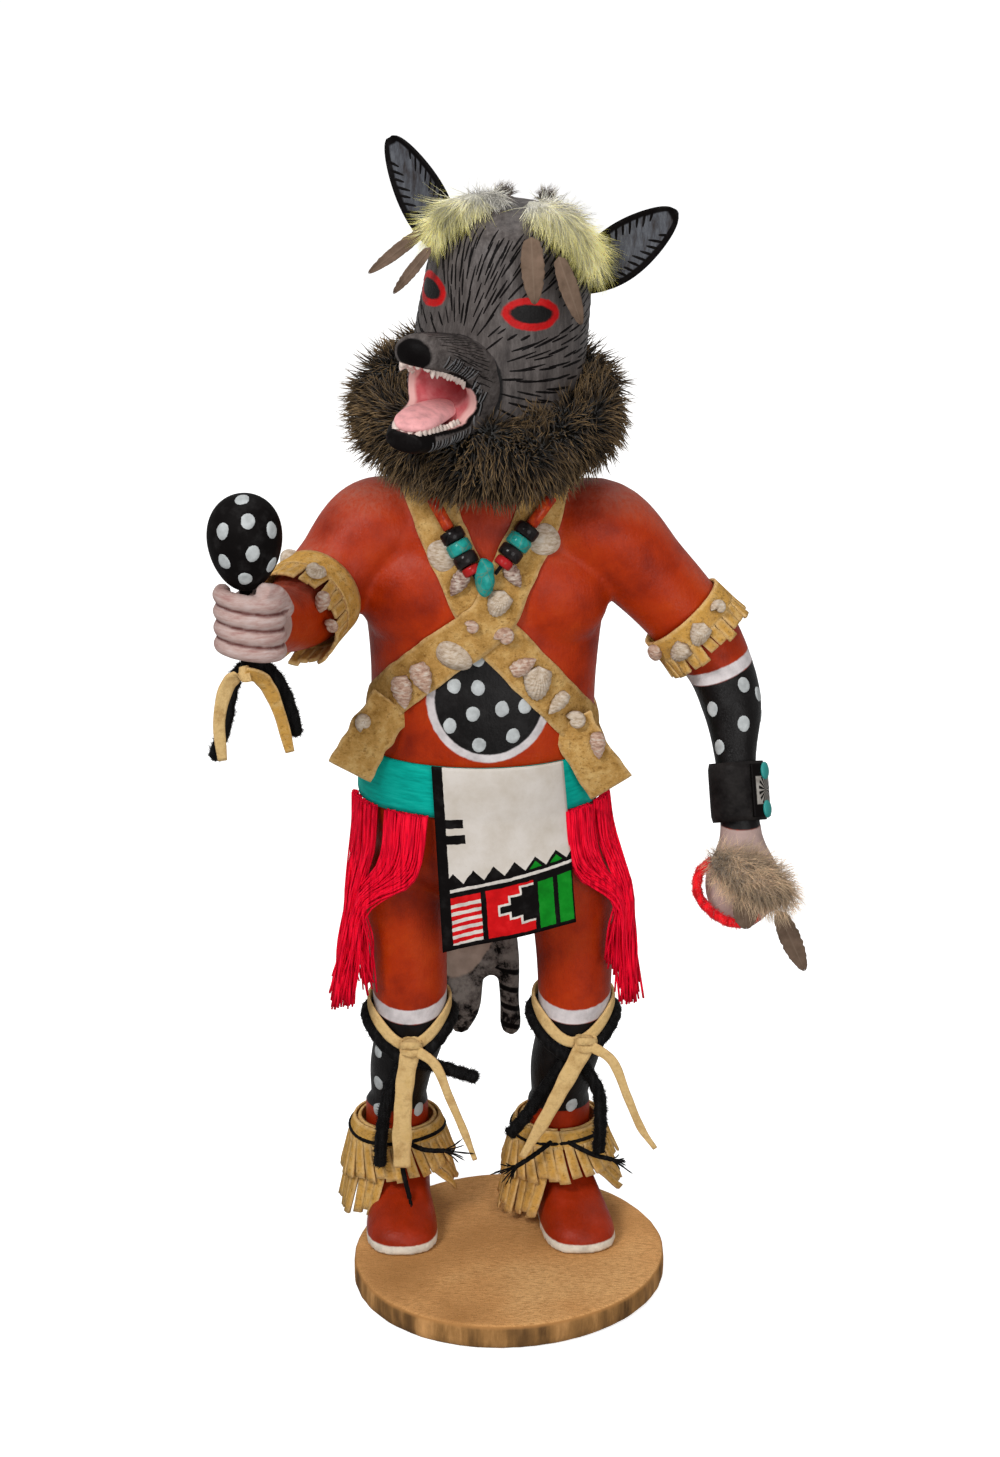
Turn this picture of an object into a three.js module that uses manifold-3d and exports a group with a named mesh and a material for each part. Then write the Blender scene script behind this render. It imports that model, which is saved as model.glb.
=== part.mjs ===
// A carved wolf dancer doll: a painted wooden figure on a slice of log, dressed in leather, fur,
// feathers, shells, beads and yarn. Millimetres, +Z up, the doll facing -Y. Right and left are the
// doll's own, so its right side is at -X. The origin is the middle of the base's underside.
import * as THREE from "three";
import { mergeVertices } from "three/addons/utils/BufferGeometryUtils.js";
import Module from "manifold-3d";

const wasm = await Module();
wasm.setup();

// Driving dimensions.
const GAP = 0.4; // clearance between a piece and what it lies on
const LEATHER = 1.3; // thickness of the strap and cuff leather
const BASE = { wide: 55.5, deep: 58.5, thick: 9, chamfer: 0.9, wave: 0.018 };
const SOLE = BASE.thick + 0.3; // underside of the boots
const HEAD = { at: [-8, 28, 294], yaw: -28, roll: 7.5 };
const BELT = { low: 175, high: 194, thick: 1.8 };
const STRAP = { wide: 16, under: 52, over: -48.5, cross: [-7, 249.5] };
const KILT = { top: 194.6, right: 126, left: 133.5, thick: 1.2, swing: -4 };
const YARN = 4.2;
const THONG = 1.2;
const BEAD_GAP = 0.45;

// Stations of the carved figure, each [x, y, z, half width, half depth].
const TORSO = [
  [-7, 30, 116, 14, 9],
  [-7, 30, 126, 29, 18],
  [-8, 29, 145, 38.5, 25],
  [-9.5, 28, 168, 41, 27],
  [-9.5, 26.5, 190, 40.5, 27.5],
  [-8.5, 26, 212, 39, 26.5],
  [-8, 27, 232, 40, 24.5],
  [-8, 27.5, 252, 42.5, 23.5],
  [-8, 28.5, 268, 43, 21.5],
  [-8, 29, 279, 39.5, 19],
  [-8, 29, 288, 28, 16],
  [-8, 28, 300, 17, 16],
  [-8, 28, 314, 16, 16],
];
const LEG_RIGHT = [
  [-27, 29, 165, 17],
  [-37.5, 28, 141, 16.8],
  [-35.8, 27, 118, 14.4],
  [-34.8, 26, 95, 13.2],
  [-35, 26, 83, 12.6],
  [-38.3, 28, 68, 11.3],
  [-39.7, 30, 53, 9.5],
];
const LEG_LEFT = [
  [11, 29, 165, 17],
  [22.5, 28, 141, 16.5],
  [23.9, 27, 118, 14],
  [24.1, 26, 95, 13],
  [23.1, 26, 83, 12.5],
  [20, 28, 68, 11.6],
  [18.8, 30, 53, 9.7],
];
const ARM_RIGHT = [
  [-28, 29, 264, 15],
  [-43.5, 28, 271, 18],
  [-58.5, 20, 258, 15.4],
  [-67.5, 8, 250.5, 14],
  [-74, -10, 251, 11.6],
  [-80, -28, 256, 10.2],
  [-83.5, -40, 260, 10],
];
const ARM_LEFT = [
  [12, 29, 264, 15],
  [30, 28, 270.5, 18],
  [49, 28, 254, 15.2],
  [66, 28, 234, 13.6],
  [74, 26, 221, 11.6],
  [78, 20, 209, 10.4],
  [79, 12, 194, 7.4],
  [80, 6, 180, 6.8],
  [81, 1, 167, 7.8, 6.4],
  [81.5, -3, 155, 13, 7],
  [81, -5, 144, 11, 7],
  [80.5, -6, 137.5, 5, 4],
];
const FOOT = [
  [0, 5, 13],
  [0.06, 8, 20],
  [0.25, 10.6, 26],
  [0.45, 11.6, 22],
  [0.65, 12.9, 15.5],
  [0.85, 12.2, 11],
  [0.96, 8.4, 8],
  [1, 3.5, 5],
];
const BOOT = { right: [-40, 31], left: [18.8, 31], top: 55, collar: 11.3, low: 12 };
const FEET = {
  right: { heel: [-40, 47], toe: [-37.2, -7.5] },
  left: { heel: [17.5, 47], toe: [29, -6] },
};
const FIST = { at: [-84, -43, 261.5], fingers: 4, pitch: 6, reach: 11.5, thick: 3.7 };
const RATTLE = { at: [-85.2, -44.5], low: 272, high: 304.5, girth: 12.2, handle: 2.2, end: 244.5 };
const PECTORAL = { out: 18.5, y: 16.5, z: 252, size: [20.5, 14, 16] };
const SKULL = [
  [0, 0, -4, 22, 22],
  [0, 0, 10, 28.5, 29.5],
  [0, 0, 32, 29.2, 30.5],
  [0, 0, 56, 28.4, 29.5],
  [0, 0, 74, 26.4, 27.4],
  [0, 0.5, 84, 22, 23],
  [0, 0.5, 90, 13, 14],
];
const EAR = { at: [26, 3, 70], splay: { right: -40.5, left: 45 }, long: 42, half: 9.2, thick: 2.6, cup: 2.4 };

// Colour, roughness and metalness of each finish.
const FINISHES = {
  log: [0xb98a4e, 0.85],
  body: [0xa8380f, 0.5],
  muzzle: [0x55504d, 0.7],
  tongue: [0xd98a8c, 0.6],
  ear: [0x4a4a50, 0.7],
  fur: [0x4a3d2c, 0.95],
  leather: [0xd2a95c, 0.9],
  belt: [0x0d9c86, 0.45],
  kilt: [0xe6e2d8, 0.6],
  thread: [0xb5062f, 0.7],
  gourd: [0x231f1e, 0.6],
  cuff: [0x231c1a, 0.7],
  yarn: [0x0d0c0d, 0.95],
  pelt: [0x5d5a58, 0.7],
  down: [0xd9d266, 0.95],
  feather: [0x7d6a58, 0.8],
  turquoise: [0x11857f, 0.3],
  jet: [0x14141a, 0.3],
  coral: [0xb3182c, 0.35],
  shell: [0xc9b09a, 0.45],
};

const vector = (x, y, z) => new THREE.Vector3(x, y, z);
const { degToRad, lerp, smoothstep } = THREE.MathUtils;
const headPose = new THREE.Matrix4()
  .makeTranslation(...HEAD.at)
  .multiply(new THREE.Matrix4().makeRotationY(degToRad(HEAD.roll)))
  .multiply(new THREE.Matrix4().makeRotationZ(degToRad(HEAD.yaw)));

// Half sizes as the pair that a ring reads.
const pair = (x, y = x) => new THREE.Vector2(x, y);

// A closed three.js geometry as a solid that can be joined and cut.
function solid(geometry, pose) {
  const bare = new THREE.BufferGeometry();
  bare.setAttribute("position", geometry.getAttribute("position").clone());
  bare.setIndex(geometry.index);
  if (pose) bare.applyMatrix4(pose);
  const merged = mergeVertices(bare, 1e-4);
  return new wasm.Manifold(
    new wasm.Mesh({
      numProp: 3,
      vertProperties: merged.attributes.position.array,
      triVerts: new Uint32Array(merged.index.array),
    }),
  );
}

// The biggest body of a cut, without the slivers beside it.
const biggest = (shape) => shape.decompose().reduce((a, b) => (b.volume() > a.volume() ? b : a));

const join = (...solids) => solids.flat().reduce((whole, next) => whole.add(next));

// A run of rings with the same number of points, skinned and closed by fans at both ends.
function loft(rings) {
  const sides = rings[0].length;
  const middle = (ring) => ring.reduce((sum, p) => sum.add(p), vector(0, 0, 0)).divideScalar(sides);
  const points = [...rings.flat(), middle(rings[0]), middle(rings.at(-1))];
  const faces = [];
  const first = rings.length * sides;
  for (let ring = 0; ring < rings.length; ring++)
    for (let k = 0; k < sides; k++) {
      const a = ring * sides + k;
      const b = ring * sides + ((k + 1) % sides);
      if (ring === 0) faces.push(first, b, a);
      if (ring === rings.length - 1) faces.push(first + 1, a, b);
      else faces.push(a, b, b + sides, a, b + sides, a + sides);
    }
  return new THREE.BufferGeometry().setFromPoints(points).setIndex(faces);
}

// A smooth run through stations: the middle, direction and half sizes at t from 0 to 1.
function run(stations) {
  const spine = new THREE.CatmullRomCurve3(stations.map((s) => vector(s[0], s[1], s[2])));
  const girth = new THREE.SplineCurve(stations.map((s) => pair(s[3], s[4])));
  return (t) => ({ at: spine.getPoint(t), along: spine.getTangent(t), half: girth.getPoint(t) });
}

function ring(at, across, up, half, sides, offset) {
  return Array.from({ length: sides }, (_, k) => {
    const angle = (2 * Math.PI * k) / sides;
    return at
      .clone()
      .addScaledVector(across, Math.cos(angle) * (half.x + offset))
      .addScaledVector(up, Math.sin(angle) * (half.y + offset));
  });
}

// A column of level sections, standing along +Z.
function column(stations, sides, steps, offset = 0, pose) {
  const read = run(stations);
  const rings = Array.from({ length: steps + 1 }, (_, i) => {
    const { at, half } = read(i / steps);
    return ring(at, vector(1, 0, 0), vector(0, 1, 0), half, sides, offset);
  });
  return solid(loft(rings), pose);
}

// A limb with sections square to its path; facing is never along the path.
function limb(stations, facing, sides, steps, offset = 0, pose) {
  const read = run(stations);
  const rings = Array.from({ length: steps + 1 }, (_, i) => {
    const { at, along, half } = read(i / steps);
    const across = vector().crossVectors(facing, along).normalize();
    return ring(at, across, vector().crossVectors(along, across), half, sides, offset);
  });
  return solid(loft(rings), pose);
}

function ellipsoid(at, size, offset = 0, pose, detail = 8) {
  const ball = new THREE.SphereGeometry(1, detail, Math.round(detail * 0.6));
  ball.scale(size[0] + offset, size[1] + offset, size[2] + offset);
  return solid(ball.translate(...at), pose);
}

// A sheet of even thickness on the surface point(u, v), with u and v from 0 to 1.
function sheet(point, thick, across, along, pose) {
  const step = 1e-3;
  const face = (side) =>
    Array.from({ length: (across + 1) * (along + 1) }, (_, i) => {
      const u = (i % (across + 1)) / across;
      const v = Math.floor(i / (across + 1)) / along;
      const du = point(Math.min(u + step, 1), v).sub(point(Math.max(u - step, 0), v));
      const dv = point(u, Math.min(v + step, 1)).sub(point(u, Math.max(v - step, 0)));
      return point(u, v).addScaledVector(du.cross(dv).normalize(), (side * thick) / 2);
    });
  const points = [...face(1), ...face(-1)];
  const layer = points.length / 2;
  const faces = [];
  const quad = (a, b, c, d) => faces.push(a, b, c, a, c, d);
  const id = (i, j) => j * (across + 1) + i;
  for (let j = 0; j < along; j++)
    for (let i = 0; i < across; i++) {
      const corners = [id(i, j), id(i + 1, j), id(i + 1, j + 1), id(i, j + 1)];
      quad(...corners);
      quad(...corners.map((c) => c + layer).reverse());
    }
  for (let i = 0; i < across; i++) {
    quad(id(i, 0), id(i, 0) + layer, id(i + 1, 0) + layer, id(i + 1, 0));
    quad(id(i + 1, along), id(i + 1, along) + layer, id(i, along) + layer, id(i, along));
  }
  for (let j = 0; j < along; j++) {
    quad(id(0, j + 1), id(0, j + 1) + layer, id(0, j) + layer, id(0, j));
    quad(id(across, j), id(across, j) + layer, id(across, j + 1) + layer, id(across, j + 1));
  }
  return solid(new THREE.BufferGeometry().setFromPoints(points).setIndex(faces), pose);
}

// A flat strip along a path, its width running along wideways.
function strip(path, wide, thick, wideways, steps = 6, tip = 1) {
  const curve = new THREE.CatmullRomCurve3(path.map((p) => vector(...p)));
  const half = (v) => (wide / 2) * lerp(1, tip, v);
  const point = (u, v) => curve.getPoint(v).addScaledVector(wideways, (2 * u - 1) * half(v));
  return sheet(point, thick, 1, steps);
}

// A round cord along a path.
function cord(path, diameter, steps = 7) {
  const extrudePath = new THREE.CatmullRomCurve3(path.map((p) => vector(...p)));
  const section = new THREE.Shape();
  section.absarc(0, 0, diameter / 2, 0, 2 * Math.PI);
  return solid(new THREE.ExtrudeGeometry(section, { steps, extrudePath, curveSegments: 4 }));
}

function box(size, at, pose = new THREE.Matrix4()) {
  const place = new THREE.Matrix4().makeTranslation(...at).multiply(pose);
  return solid(new THREE.BoxGeometry(...size), place);
}

// A conical ring of leather about an axis, from one end to the other.
function cuff(from, to, inner, outer, thick, sides = 14) {
  const ends = [vector(...from), vector(...to)];
  const along = vector().subVectors(ends[1], ends[0]).normalize();
  const across = vector().crossVectors(vector(0, 1, 0.3), along).normalize();
  const up = vector().crossVectors(along, across);
  const cone = (grow, past) =>
    solid(
      loft(
        [inner, outer].map((r, i) => {
          const at = ends[i].clone().addScaledVector(along, (2 * i - 1) * past);
          return ring(at, across, up, pair(r), sides, grow);
        }),
      ),
    );
  return cone(thick, 0).subtract(cone(0, 0.5));
}

// The figure.

const FORWARD = vector(0, -1, 0);
const UP = vector(0, 0, 1);
const torso = (offset) => column(TORSO, 14, 12, offset);

function pectorals(offset) {
  const { out, y, z, size } = PECTORAL;
  return [-1, 1].map((side) => ellipsoid([-8 + side * out, y, z], size, offset));
}

function foot({ heel, toe }, offset) {
  const from = vector(...heel, SOLE);
  const along = vector(...toe, SOLE).sub(from);
  const across = vector().crossVectors(UP, along).normalize();
  const bend = (value, power) => Math.sign(value) * Math.abs(value) ** power;
  const under = 2;
  const rings = FOOT.map(([t, half, high]) =>
    Array.from({ length: 10 }, (_, k) => {
      const angle = (2 * Math.PI * k) / 10;
      const side = bend(Math.cos(angle), 0.8) * (half + offset);
      const rise = ((high + under + offset) / 2) * (1 + bend(Math.sin(angle), 0.75)) - under;
      return from.clone().addScaledVector(along, t).addScaledVector(across, side).add(vector(0, 0, rise));
    }),
  );
  return solid(loft(rings)).subtract(box([200, 200, 20], [0, 0, SOLE - 10]));
}

function boot([x, y], offset) {
  const { top, collar, low } = BOOT;
  const stations = [
    [x, y + 2, SOLE, low],
    [x, y + 1, top - 26, collar + 0.3],
    [x, y, top, collar],
  ];
  return column(stations, 10, 2, offset);
}

function fist(offset) {
  const { at, fingers, pitch, reach, thick } = FIST;
  const rolls = Array.from({ length: fingers }, (_, i) => {
    const z = at[2] + (fingers / 2 - 0.5 - i) * pitch;
    const x = at[0] - 0.4 * i + 0.6;
    const stations = [
      [x - reach, at[1] - 2, z + 0.8, thick * 0.6],
      [x - reach + 3, at[1] - 5, z + 0.5, thick],
      [x + reach - 3, at[1] - 5, z - 0.5, thick],
      [x + reach, at[1] - 2, z - 0.8, thick * 0.6],
    ];
    return limb(stations, UP, 6, 3, offset);
  });
  const thumb = [
    [at[0] + 11, at[1] + 3, at[2] + 2, 4],
    [at[0] + 8.5, at[1] - 3, at[2] + 9, 4],
    [at[0] + 5.5, at[1] - 7, at[2] + 12.5, 3],
  ];
  return join(rolls, limb(thumb, vector(1, 0, 0), 6, 3, offset), ellipsoid(at, [11.5, 9.5, 12], offset));
}

const skull = (offset) => column(SKULL, 14, 7, offset, headPose);

const leg = (stations, offset) => limb(stations, FORWARD, 9, 7, offset);
const armRight = (offset) => limb(ARM_RIGHT, UP, 8, 7, offset);
const armLeft = (offset) => limb(ARM_LEFT, FORWARD, 8, 11, offset);

// The trunk with its arms, which the straps lie round.
const trunk = (offset) => join(torso(offset), pectorals(offset), armRight(offset), armLeft(offset));

function figure(offset) {
  return join(
    trunk(offset),
    leg(LEG_RIGHT, offset),
    leg(LEG_LEFT, offset),
    boot(BOOT.right, offset),
    boot(BOOT.left, offset),
    foot(FEET.right, offset),
    foot(FEET.left, offset),
    fist(offset),
    skull(offset),
  );
}

const skin = figure(GAP);

// The middle, half width and half depth of the torso at a height.
function torsoSection(z) {
  const read = run(TORSO);
  let [low, high] = [0, 1];
  for (let i = 0; i < 30; i++) {
    const mid = (low + high) / 2;
    if (read(mid).at.z < z) low = mid;
    else high = mid;
  }
  return read(low);
}

// The front of the chest and belly at x, z, that far out from the wood.
function chest(x, z, offset = 0) {
  const { at, half } = torsoSection(z);
  const rise = (ratio) => Math.sqrt(Math.max(0, 1 - ratio));
  const belly = at.y - (half.y + offset) * rise(((x - at.x) / (half.x + offset)) ** 2);
  const { out, y, z: level, size } = PECTORAL;
  const middle = -8 + (x < -8 ? -out : out);
  const [wide, deep, high] = size.map((s) => s + offset);
  const left = 1 - ((x - middle) / wide) ** 2 - ((z - level) / high) ** 2;
  return left > 0 ? Math.min(belly, y - deep * Math.sqrt(left)) : belly;
}

// Head: muzzle, tongue and ears.

function muzzle(offset) {
  const cheeks = [
    [0, -12, 34.5, 15.5, 16.5],
    [0, -28, 34.5, 15.5, 16.5],
    [0, -36, 35, 14.5, 15.5],
    [0, -42, 35.5, 10.5, 12],
  ];
  const upper = [
    [0, -26, 39.5, 13, 9],
    [0, -38, 42, 12, 9],
    [0, -50, 45.5, 10.5, 7.5],
    [0, -58, 46.5, 9.2, 6.6],
    [0, -62.5, 47, 6.5, 5],
  ];
  const lower = [
    [0, -24, 26, 13, 8.5],
    [0, -40, 23.5, 12, 7],
    [0, -52, 21.5, 10, 5.5],
    [0, -60, 21, 8, 4.5],
    [0, -63.5, 21.5, 5, 3.5],
  ];
  const jaws = [cheeks, upper, lower].map((part) => limb(part, UP, 9, 4, offset, headPose));
  const gape = new THREE.Shape();
  gape.moveTo(-76, 43 - offset);
  gape.quadraticCurveTo(-46, 41 - offset, -36.5 - offset, 31.5);
  gape.quadraticCurveTo(-48, 26 + offset, -76, 25.5 + offset);
  const slice = new THREE.ExtrudeGeometry(gape, { depth: 50, bevelEnabled: false, curveSegments: 4 });
  const turn = new THREE.Matrix4().makeBasis(vector(0, 1, 0), UP, vector(1, 0, 0));
  slice.translate(0, 0, -25).applyMatrix4(turn);
  const hollows = [
    [[0, -46, 33.5], [9, 17, 8]],
    [[0, -48, 40], [7.5, 12, 4.2]],
    [[0, -49, 27], [7.8, 11.5, 3.8]],
  ].map(([at, size]) => ellipsoid(at, size, -offset, headPose));
  return join(jaws, ellipsoid([0, -61.5, 49.5], [7, 4.6, 5], offset, headPose))
    .subtract(join(solid(slice, headPose), hollows))
    .subtract(skull(GAP));
}

function tongue() {
  const stations = [
    [0, -31, 31, 5, 3],
    [0, -44, 29.5, 6.4, 3],
    [0, -55, 27.5, 6.4, 2.8],
    [0, -62, 28, 5, 1.8],
    [0, -65, 28.4, 2.5, 1],
  ];
  return biggest(limb(stations, UP, 6, 4, 0, headPose).subtract(muzzle(GAP)));
}

function ear(name) {
  const { at, splay, long, half, thick, cup } = EAR;
  const lean = degToRad(splay[name]);
  const up = vector(Math.sin(lean), 0.05, Math.cos(lean));
  const across = vector(Math.cos(lean), 0, -Math.sin(lean));
  const point = (u, v) => {
    const wide = Math.max(0.5, half * Math.sin(Math.PI * (0.17 + 0.83 * v)) ** 0.8);
    const s = 2 * u - 1;
    return vector(at[0] * Math.sign(lean), at[1], at[2])
      .addScaledVector(up, long * (v * 1.12 - 0.12))
      .addScaledVector(across, wide * s)
      .add(vector(0, -cup * s * s * (1 - v), 0));
  };
  return sheet(point, thick, 4, 7, headPose).subtract(skull(GAP));
}

// Fur, leather and cloth worn on the body.

function furRuff(inside) {
  const tilt = new THREE.Matrix4().makeRotationX(degToRad(17));
  const place = new THREE.Matrix4().makeTranslation(-6.5, 27, 315).multiply(tilt);
  const collar = new THREE.TorusGeometry(31.5, 17, 7, 14);
  return solid(collar, place).subtract(join(figure(2.4 * LEATHER), muzzle(0.6), inside));
}

function strapSlab(slope, wide) {
  const turn = new THREE.Matrix4().makeRotationY(degToRad(slope));
  return box([260, 140, wide], [STRAP.cross[0], 28, STRAP.cross[1]], turn);
}

const wrap = (low, high) => trunk(high).subtract(join(trunk(low), skull(GAP)));
const aboveBelt = box([200, 200, 120], [0, 0, BELT.high + GAP + 60]);
const beltRoom = torso(BELT.thick + 2 * GAP).intersect(box([200, 200, 60], [0, 0, BELT.high + GAP - 30]));

// A loose strap end that hangs from the hip over the belt.
function strapTail(from, to, wide) {
  const down = vector(...to).sub(vector(...from));
  const across = vector().crossVectors(down, FORWARD).normalize();
  const point = (u, v) =>
    vector(...from)
      .addScaledVector(down, v)
      .addScaledVector(across, (u - 0.5) * wide)
      .add(vector(0, -1.6 * Math.sin(Math.PI * v), 0));
  return sheet(point, LEATHER, 2, 3).subtract(join(beltRoom, skin));
}

function bandolierUnder() {
  const loop = strapSlab(STRAP.under, STRAP.wide).intersect(wrap(GAP, GAP + LEATHER));
  const tail = strapTail([20.5, 7.6, 206], [36, 7, 184], STRAP.wide);
  return biggest(join(loop.intersect(aboveBelt), tail));
}

// The upper strap steps over the lower one in front and behind.
function bandolierOver() {
  const lift = GAP + LEATHER;
  const bridge = strapSlab(STRAP.under, STRAP.wide + 2 * GAP);
  const ramp = strapSlab(STRAP.under, STRAP.wide + 2 * GAP + 2 * LEATHER);
  const flat = wrap(GAP, lift).subtract(bridge);
  const step = wrap(GAP, GAP + lift + LEATHER).intersect(ramp).subtract(bridge);
  const raised = wrap(GAP + lift, GAP + lift + LEATHER).intersect(ramp);
  const loop = strapSlab(STRAP.over, STRAP.wide).intersect(join(flat, step, raised));
  const tail = strapTail([-40, 8.4, 206], [-56, 6.4, 187], STRAP.wide);
  return biggest(join(loop.intersect(aboveBelt), tail));
}

function belt() {
  const level = box([200, 200, BELT.high - BELT.low], [0, 0, (BELT.high + BELT.low) / 2]);
  return level.intersect(torso(GAP + BELT.thick).subtract(torso(GAP)));
}

function kiltFlap() {
  const out = GAP + BELT.thick + GAP + KILT.thick / 2;
  const point = (u, v) => {
    const x = lerp(lerp(-26, 19, u), lerp(-22.5, 24, u), v);
    const z = lerp(KILT.top, lerp(KILT.right, KILT.left, u), v);
    const y = chest(x, Math.max(z, BELT.low), out);
    return vector(x, lerp(y, KILT.swing, smoothstep(v, 0.3, 1)), z);
  };
  return sheet(point, KILT.thick, 5, 5);
}

// A skein of sash threads from under the belt to a gathered tail beside the thigh.
function sashFringe(front, side, tailFront, tailSide) {
  const top = BELT.low - GAP - 1.8;
  const { at, half } = torsoSection(top);
  const angles = [front, side].map(degToRad);
  const point = (u, v) => {
    const angle = lerp(angles[0], angles[1], u);
    const out = lerp(2.6, 4.4, u);
    const x = at.x + Math.sin(angle) * (half.x + out);
    const y = at.y - Math.cos(angle) * (half.y + out);
    const tail = vector(...tailFront).lerp(vector(...tailSide), u);
    return vector(x, y, top).lerp(tail, v).add(vector(0, -3 * Math.sin(Math.PI * v), 0));
  };
  return sheet(point, 3.4, 3, 5).subtract(join(skin, torso(2 * GAP)));
}

function ankleCuff([x, y], flare) {
  const [top, low] = [47.5, 17];
  const point = (u, v) => {
    const open = lerp(12, 46, v);
    const angle = degToRad(lerp(open, 360 - open, u));
    const out = lerp(13, flare, v ** 0.8);
    return vector(x + Math.sin(angle) * out, y - Math.cos(angle) * out, lerp(top, low, v));
  };
  return sheet(point, LEATHER, 12, 2).subtract(skin);
}

function ankleThread([x, y], tails) {
  const loop = new THREE.TorusGeometry(16.4, 0.8, 4, 12).translate(x, y, 44.5);
  return join(solid(loop), tails.map((path) => cord(path, 1.8, 3)));
}

function levelTilt(at, degrees) {
  return new THREE.Matrix4().makeTranslation(...at).multiply(
    new THREE.Matrix4().makeRotationX(degToRad(degrees)),
  );
}

// A leather thong tied below the knee, with a knot in front and two loose ends.
function kneeThong(stations, middle, knot, ends) {
  const slab = solid(new THREE.BoxGeometry(50, 60, 4), levelTilt(middle, 20));
  const hoop = leg(stations, GAP + THONG).subtract(leg(stations, GAP));
  const tie = ellipsoid(knot, [4, 3.2, 3.2], 0, undefined, 7).subtract(skin);
  return join(slab.intersect(hoop), tie, ends);
}

// Black yarn tied just under the thong.
function kneeYarn(middle, round, ends) {
  const loop = new THREE.TorusGeometry(round, YARN / 2, 6, 12);
  return join(solid(loop, levelTilt(middle, 20)), ends.map((path) => cord(path, YARN, 5)));
}

function pelt() {
  const middle = -16;
  const body = [
    [middle, 60.6, 173, 17, 3.2],
    [middle, 62, 150, 19, 4],
    [middle, 62.4, 115, 17, 4.4],
    [middle, 61.5, 96, 10, 4],
  ];
  const tail = [
    [middle, 61.5, 108, 9, 4],
    [middle - 0.5, 61, 88, 8, 5],
    [middle - 1, 60.5, 74, 6.5, 4.6],
    [middle - 1, 60, 67, 2.5, 2.5],
  ];
  const hindLeg = (side) => [
    [middle + 11 * side, 62, 122, 6, 4],
    [middle + 16 * side, 61, 98, 4.6, 4],
    [middle + 17 * side, 60.5, 80, 3.6, 3.6],
    [middle + 17.5 * side, 60, 68, 3.4, 3.2],
    [middle + 17.5 * side, 60, 66, 1.6, 1.6],
  ];
  return join([body, tail, hindLeg(-1), hindLeg(1)].map((part) => limb(part, FORWARD, 7, 4))).subtract(skin);
}

// Held things and feathers.

// Half the outline of the gourd and its handle, from the handle's end to the top.
function gourdProfile(offset) {
  const { low, high, girth, handle, end } = RATTLE;
  const steps = 8;
  const egg = Array.from({ length: steps + 1 }, (_, i) => {
    const angle = lerp(0.26, Math.PI, i / steps);
    const round = Math.sin(angle) * (1 - 0.14 * Math.cos(angle));
    const rise = (low + high) / 2 - ((high - low) / 2 + offset) * Math.cos(angle);
    return pair(i === steps ? 0 : (girth + offset) * round, rise);
  });
  const rod = handle + offset;
  return [pair(0, end - offset), pair(rod, end - offset), pair(rod, egg[0].y), ...egg];
}

const standUp = (x, y) => new THREE.Matrix4().makeTranslation(x, y, 0).multiply(
  new THREE.Matrix4().makeRotationX(Math.PI / 2),
);

const rattle = (offset) => solid(new THREE.LatheGeometry(gourdProfile(offset), 10), standUp(...RATTLE.at));

// A flight feather: a narrow leaf from its quill to its tip.
function feather(quill, tip, half, facing) {
  const from = vector(...quill);
  const down = vector(...tip).sub(from);
  const across = vector().crossVectors(down, facing).normalize();
  const width = (v) => Math.max(0.35, half * Math.sin(Math.PI * (0.1 + 0.87 * v)) ** 0.7);
  const point = (u, v) =>
    from.clone().addScaledVector(down, v).addScaledVector(across, (2 * u - 1) * width(v));
  return sheet(point, 0.8, 2, 4).subtract(skin);
}

// A clump of down lying along a line on the head or hand.
function down(stations, cut) {
  return limb(stations, FORWARD, 8, 4).subtract(join(skin, cut ?? []));
}

// Beads, pendant and shells.

const NECKLACE = {
  right: { from: [-24.5, 282.5], to: [-12.5, 263.8] },
  left: { from: [14.2, 283.2], to: [-3.7, 263.9] },
};
const BEADS = [
  { name: "tube", finish: "coral", long: 6.2, round: 1.8 },
  { name: "upper_jet", finish: "jet", long: 4.2, round: 3.7 },
  { name: "turquoise", finish: "turquoise", long: 4.4, round: 3.8 },
  { name: "lower_jet", finish: "jet", long: 4.2, round: 3.7 },
  { name: "coral", finish: "coral", long: 3.2, round: 2.8 },
];
const STRUNG = BEADS.reduce((sum, part) => sum + part.long + BEAD_GAP, -BEAD_GAP);
const BEAD_LIFT = GAP + LEATHER + GAP + 3.8;

// Where a bead sits, from its distance along one side of the string.
function beadPlace(side, distance) {
  const at = pair(...NECKLACE[side].from).lerp(pair(...NECKLACE[side].to), distance / STRUNG);
  return vector(at.x, chest(at.x, at.y, BEAD_LIFT), at.y);
}

function bead(side, start, { long, round }, offset = 0) {
  const from = beadPlace(side, start);
  const to = beadPlace(side, start + long);
  const rod = new THREE.CylinderGeometry(round + offset, round + offset, long + 2 * offset, 8);
  const turn = new THREE.Quaternion().setFromUnitVectors(vector(0, 1, 0), to.clone().sub(from).normalize());
  const middle = from.lerp(to, 0.5);
  return solid(rod, new THREE.Matrix4().compose(middle, turn, vector(1, 1, 1)));
}

function pendant() {
  const [x, z] = [-7.9, 262];
  const y = chest(x, z, 7);
  const stations = [
    [x, y, z + 6.6, 1, 1],
    [x, y, z + 2.6, 1.9, 1.8],
    [x, y - 0.3, z - 2, 3.6, 2.4],
    [x - 0.2, y - 0.3, z - 4.6, 3.4, 2.2],
    [x + 0.3, y, z - 6.6, 1.6, 1.2],
  ];
  return limb(stations, FORWARD, 7, 5);
}

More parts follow.
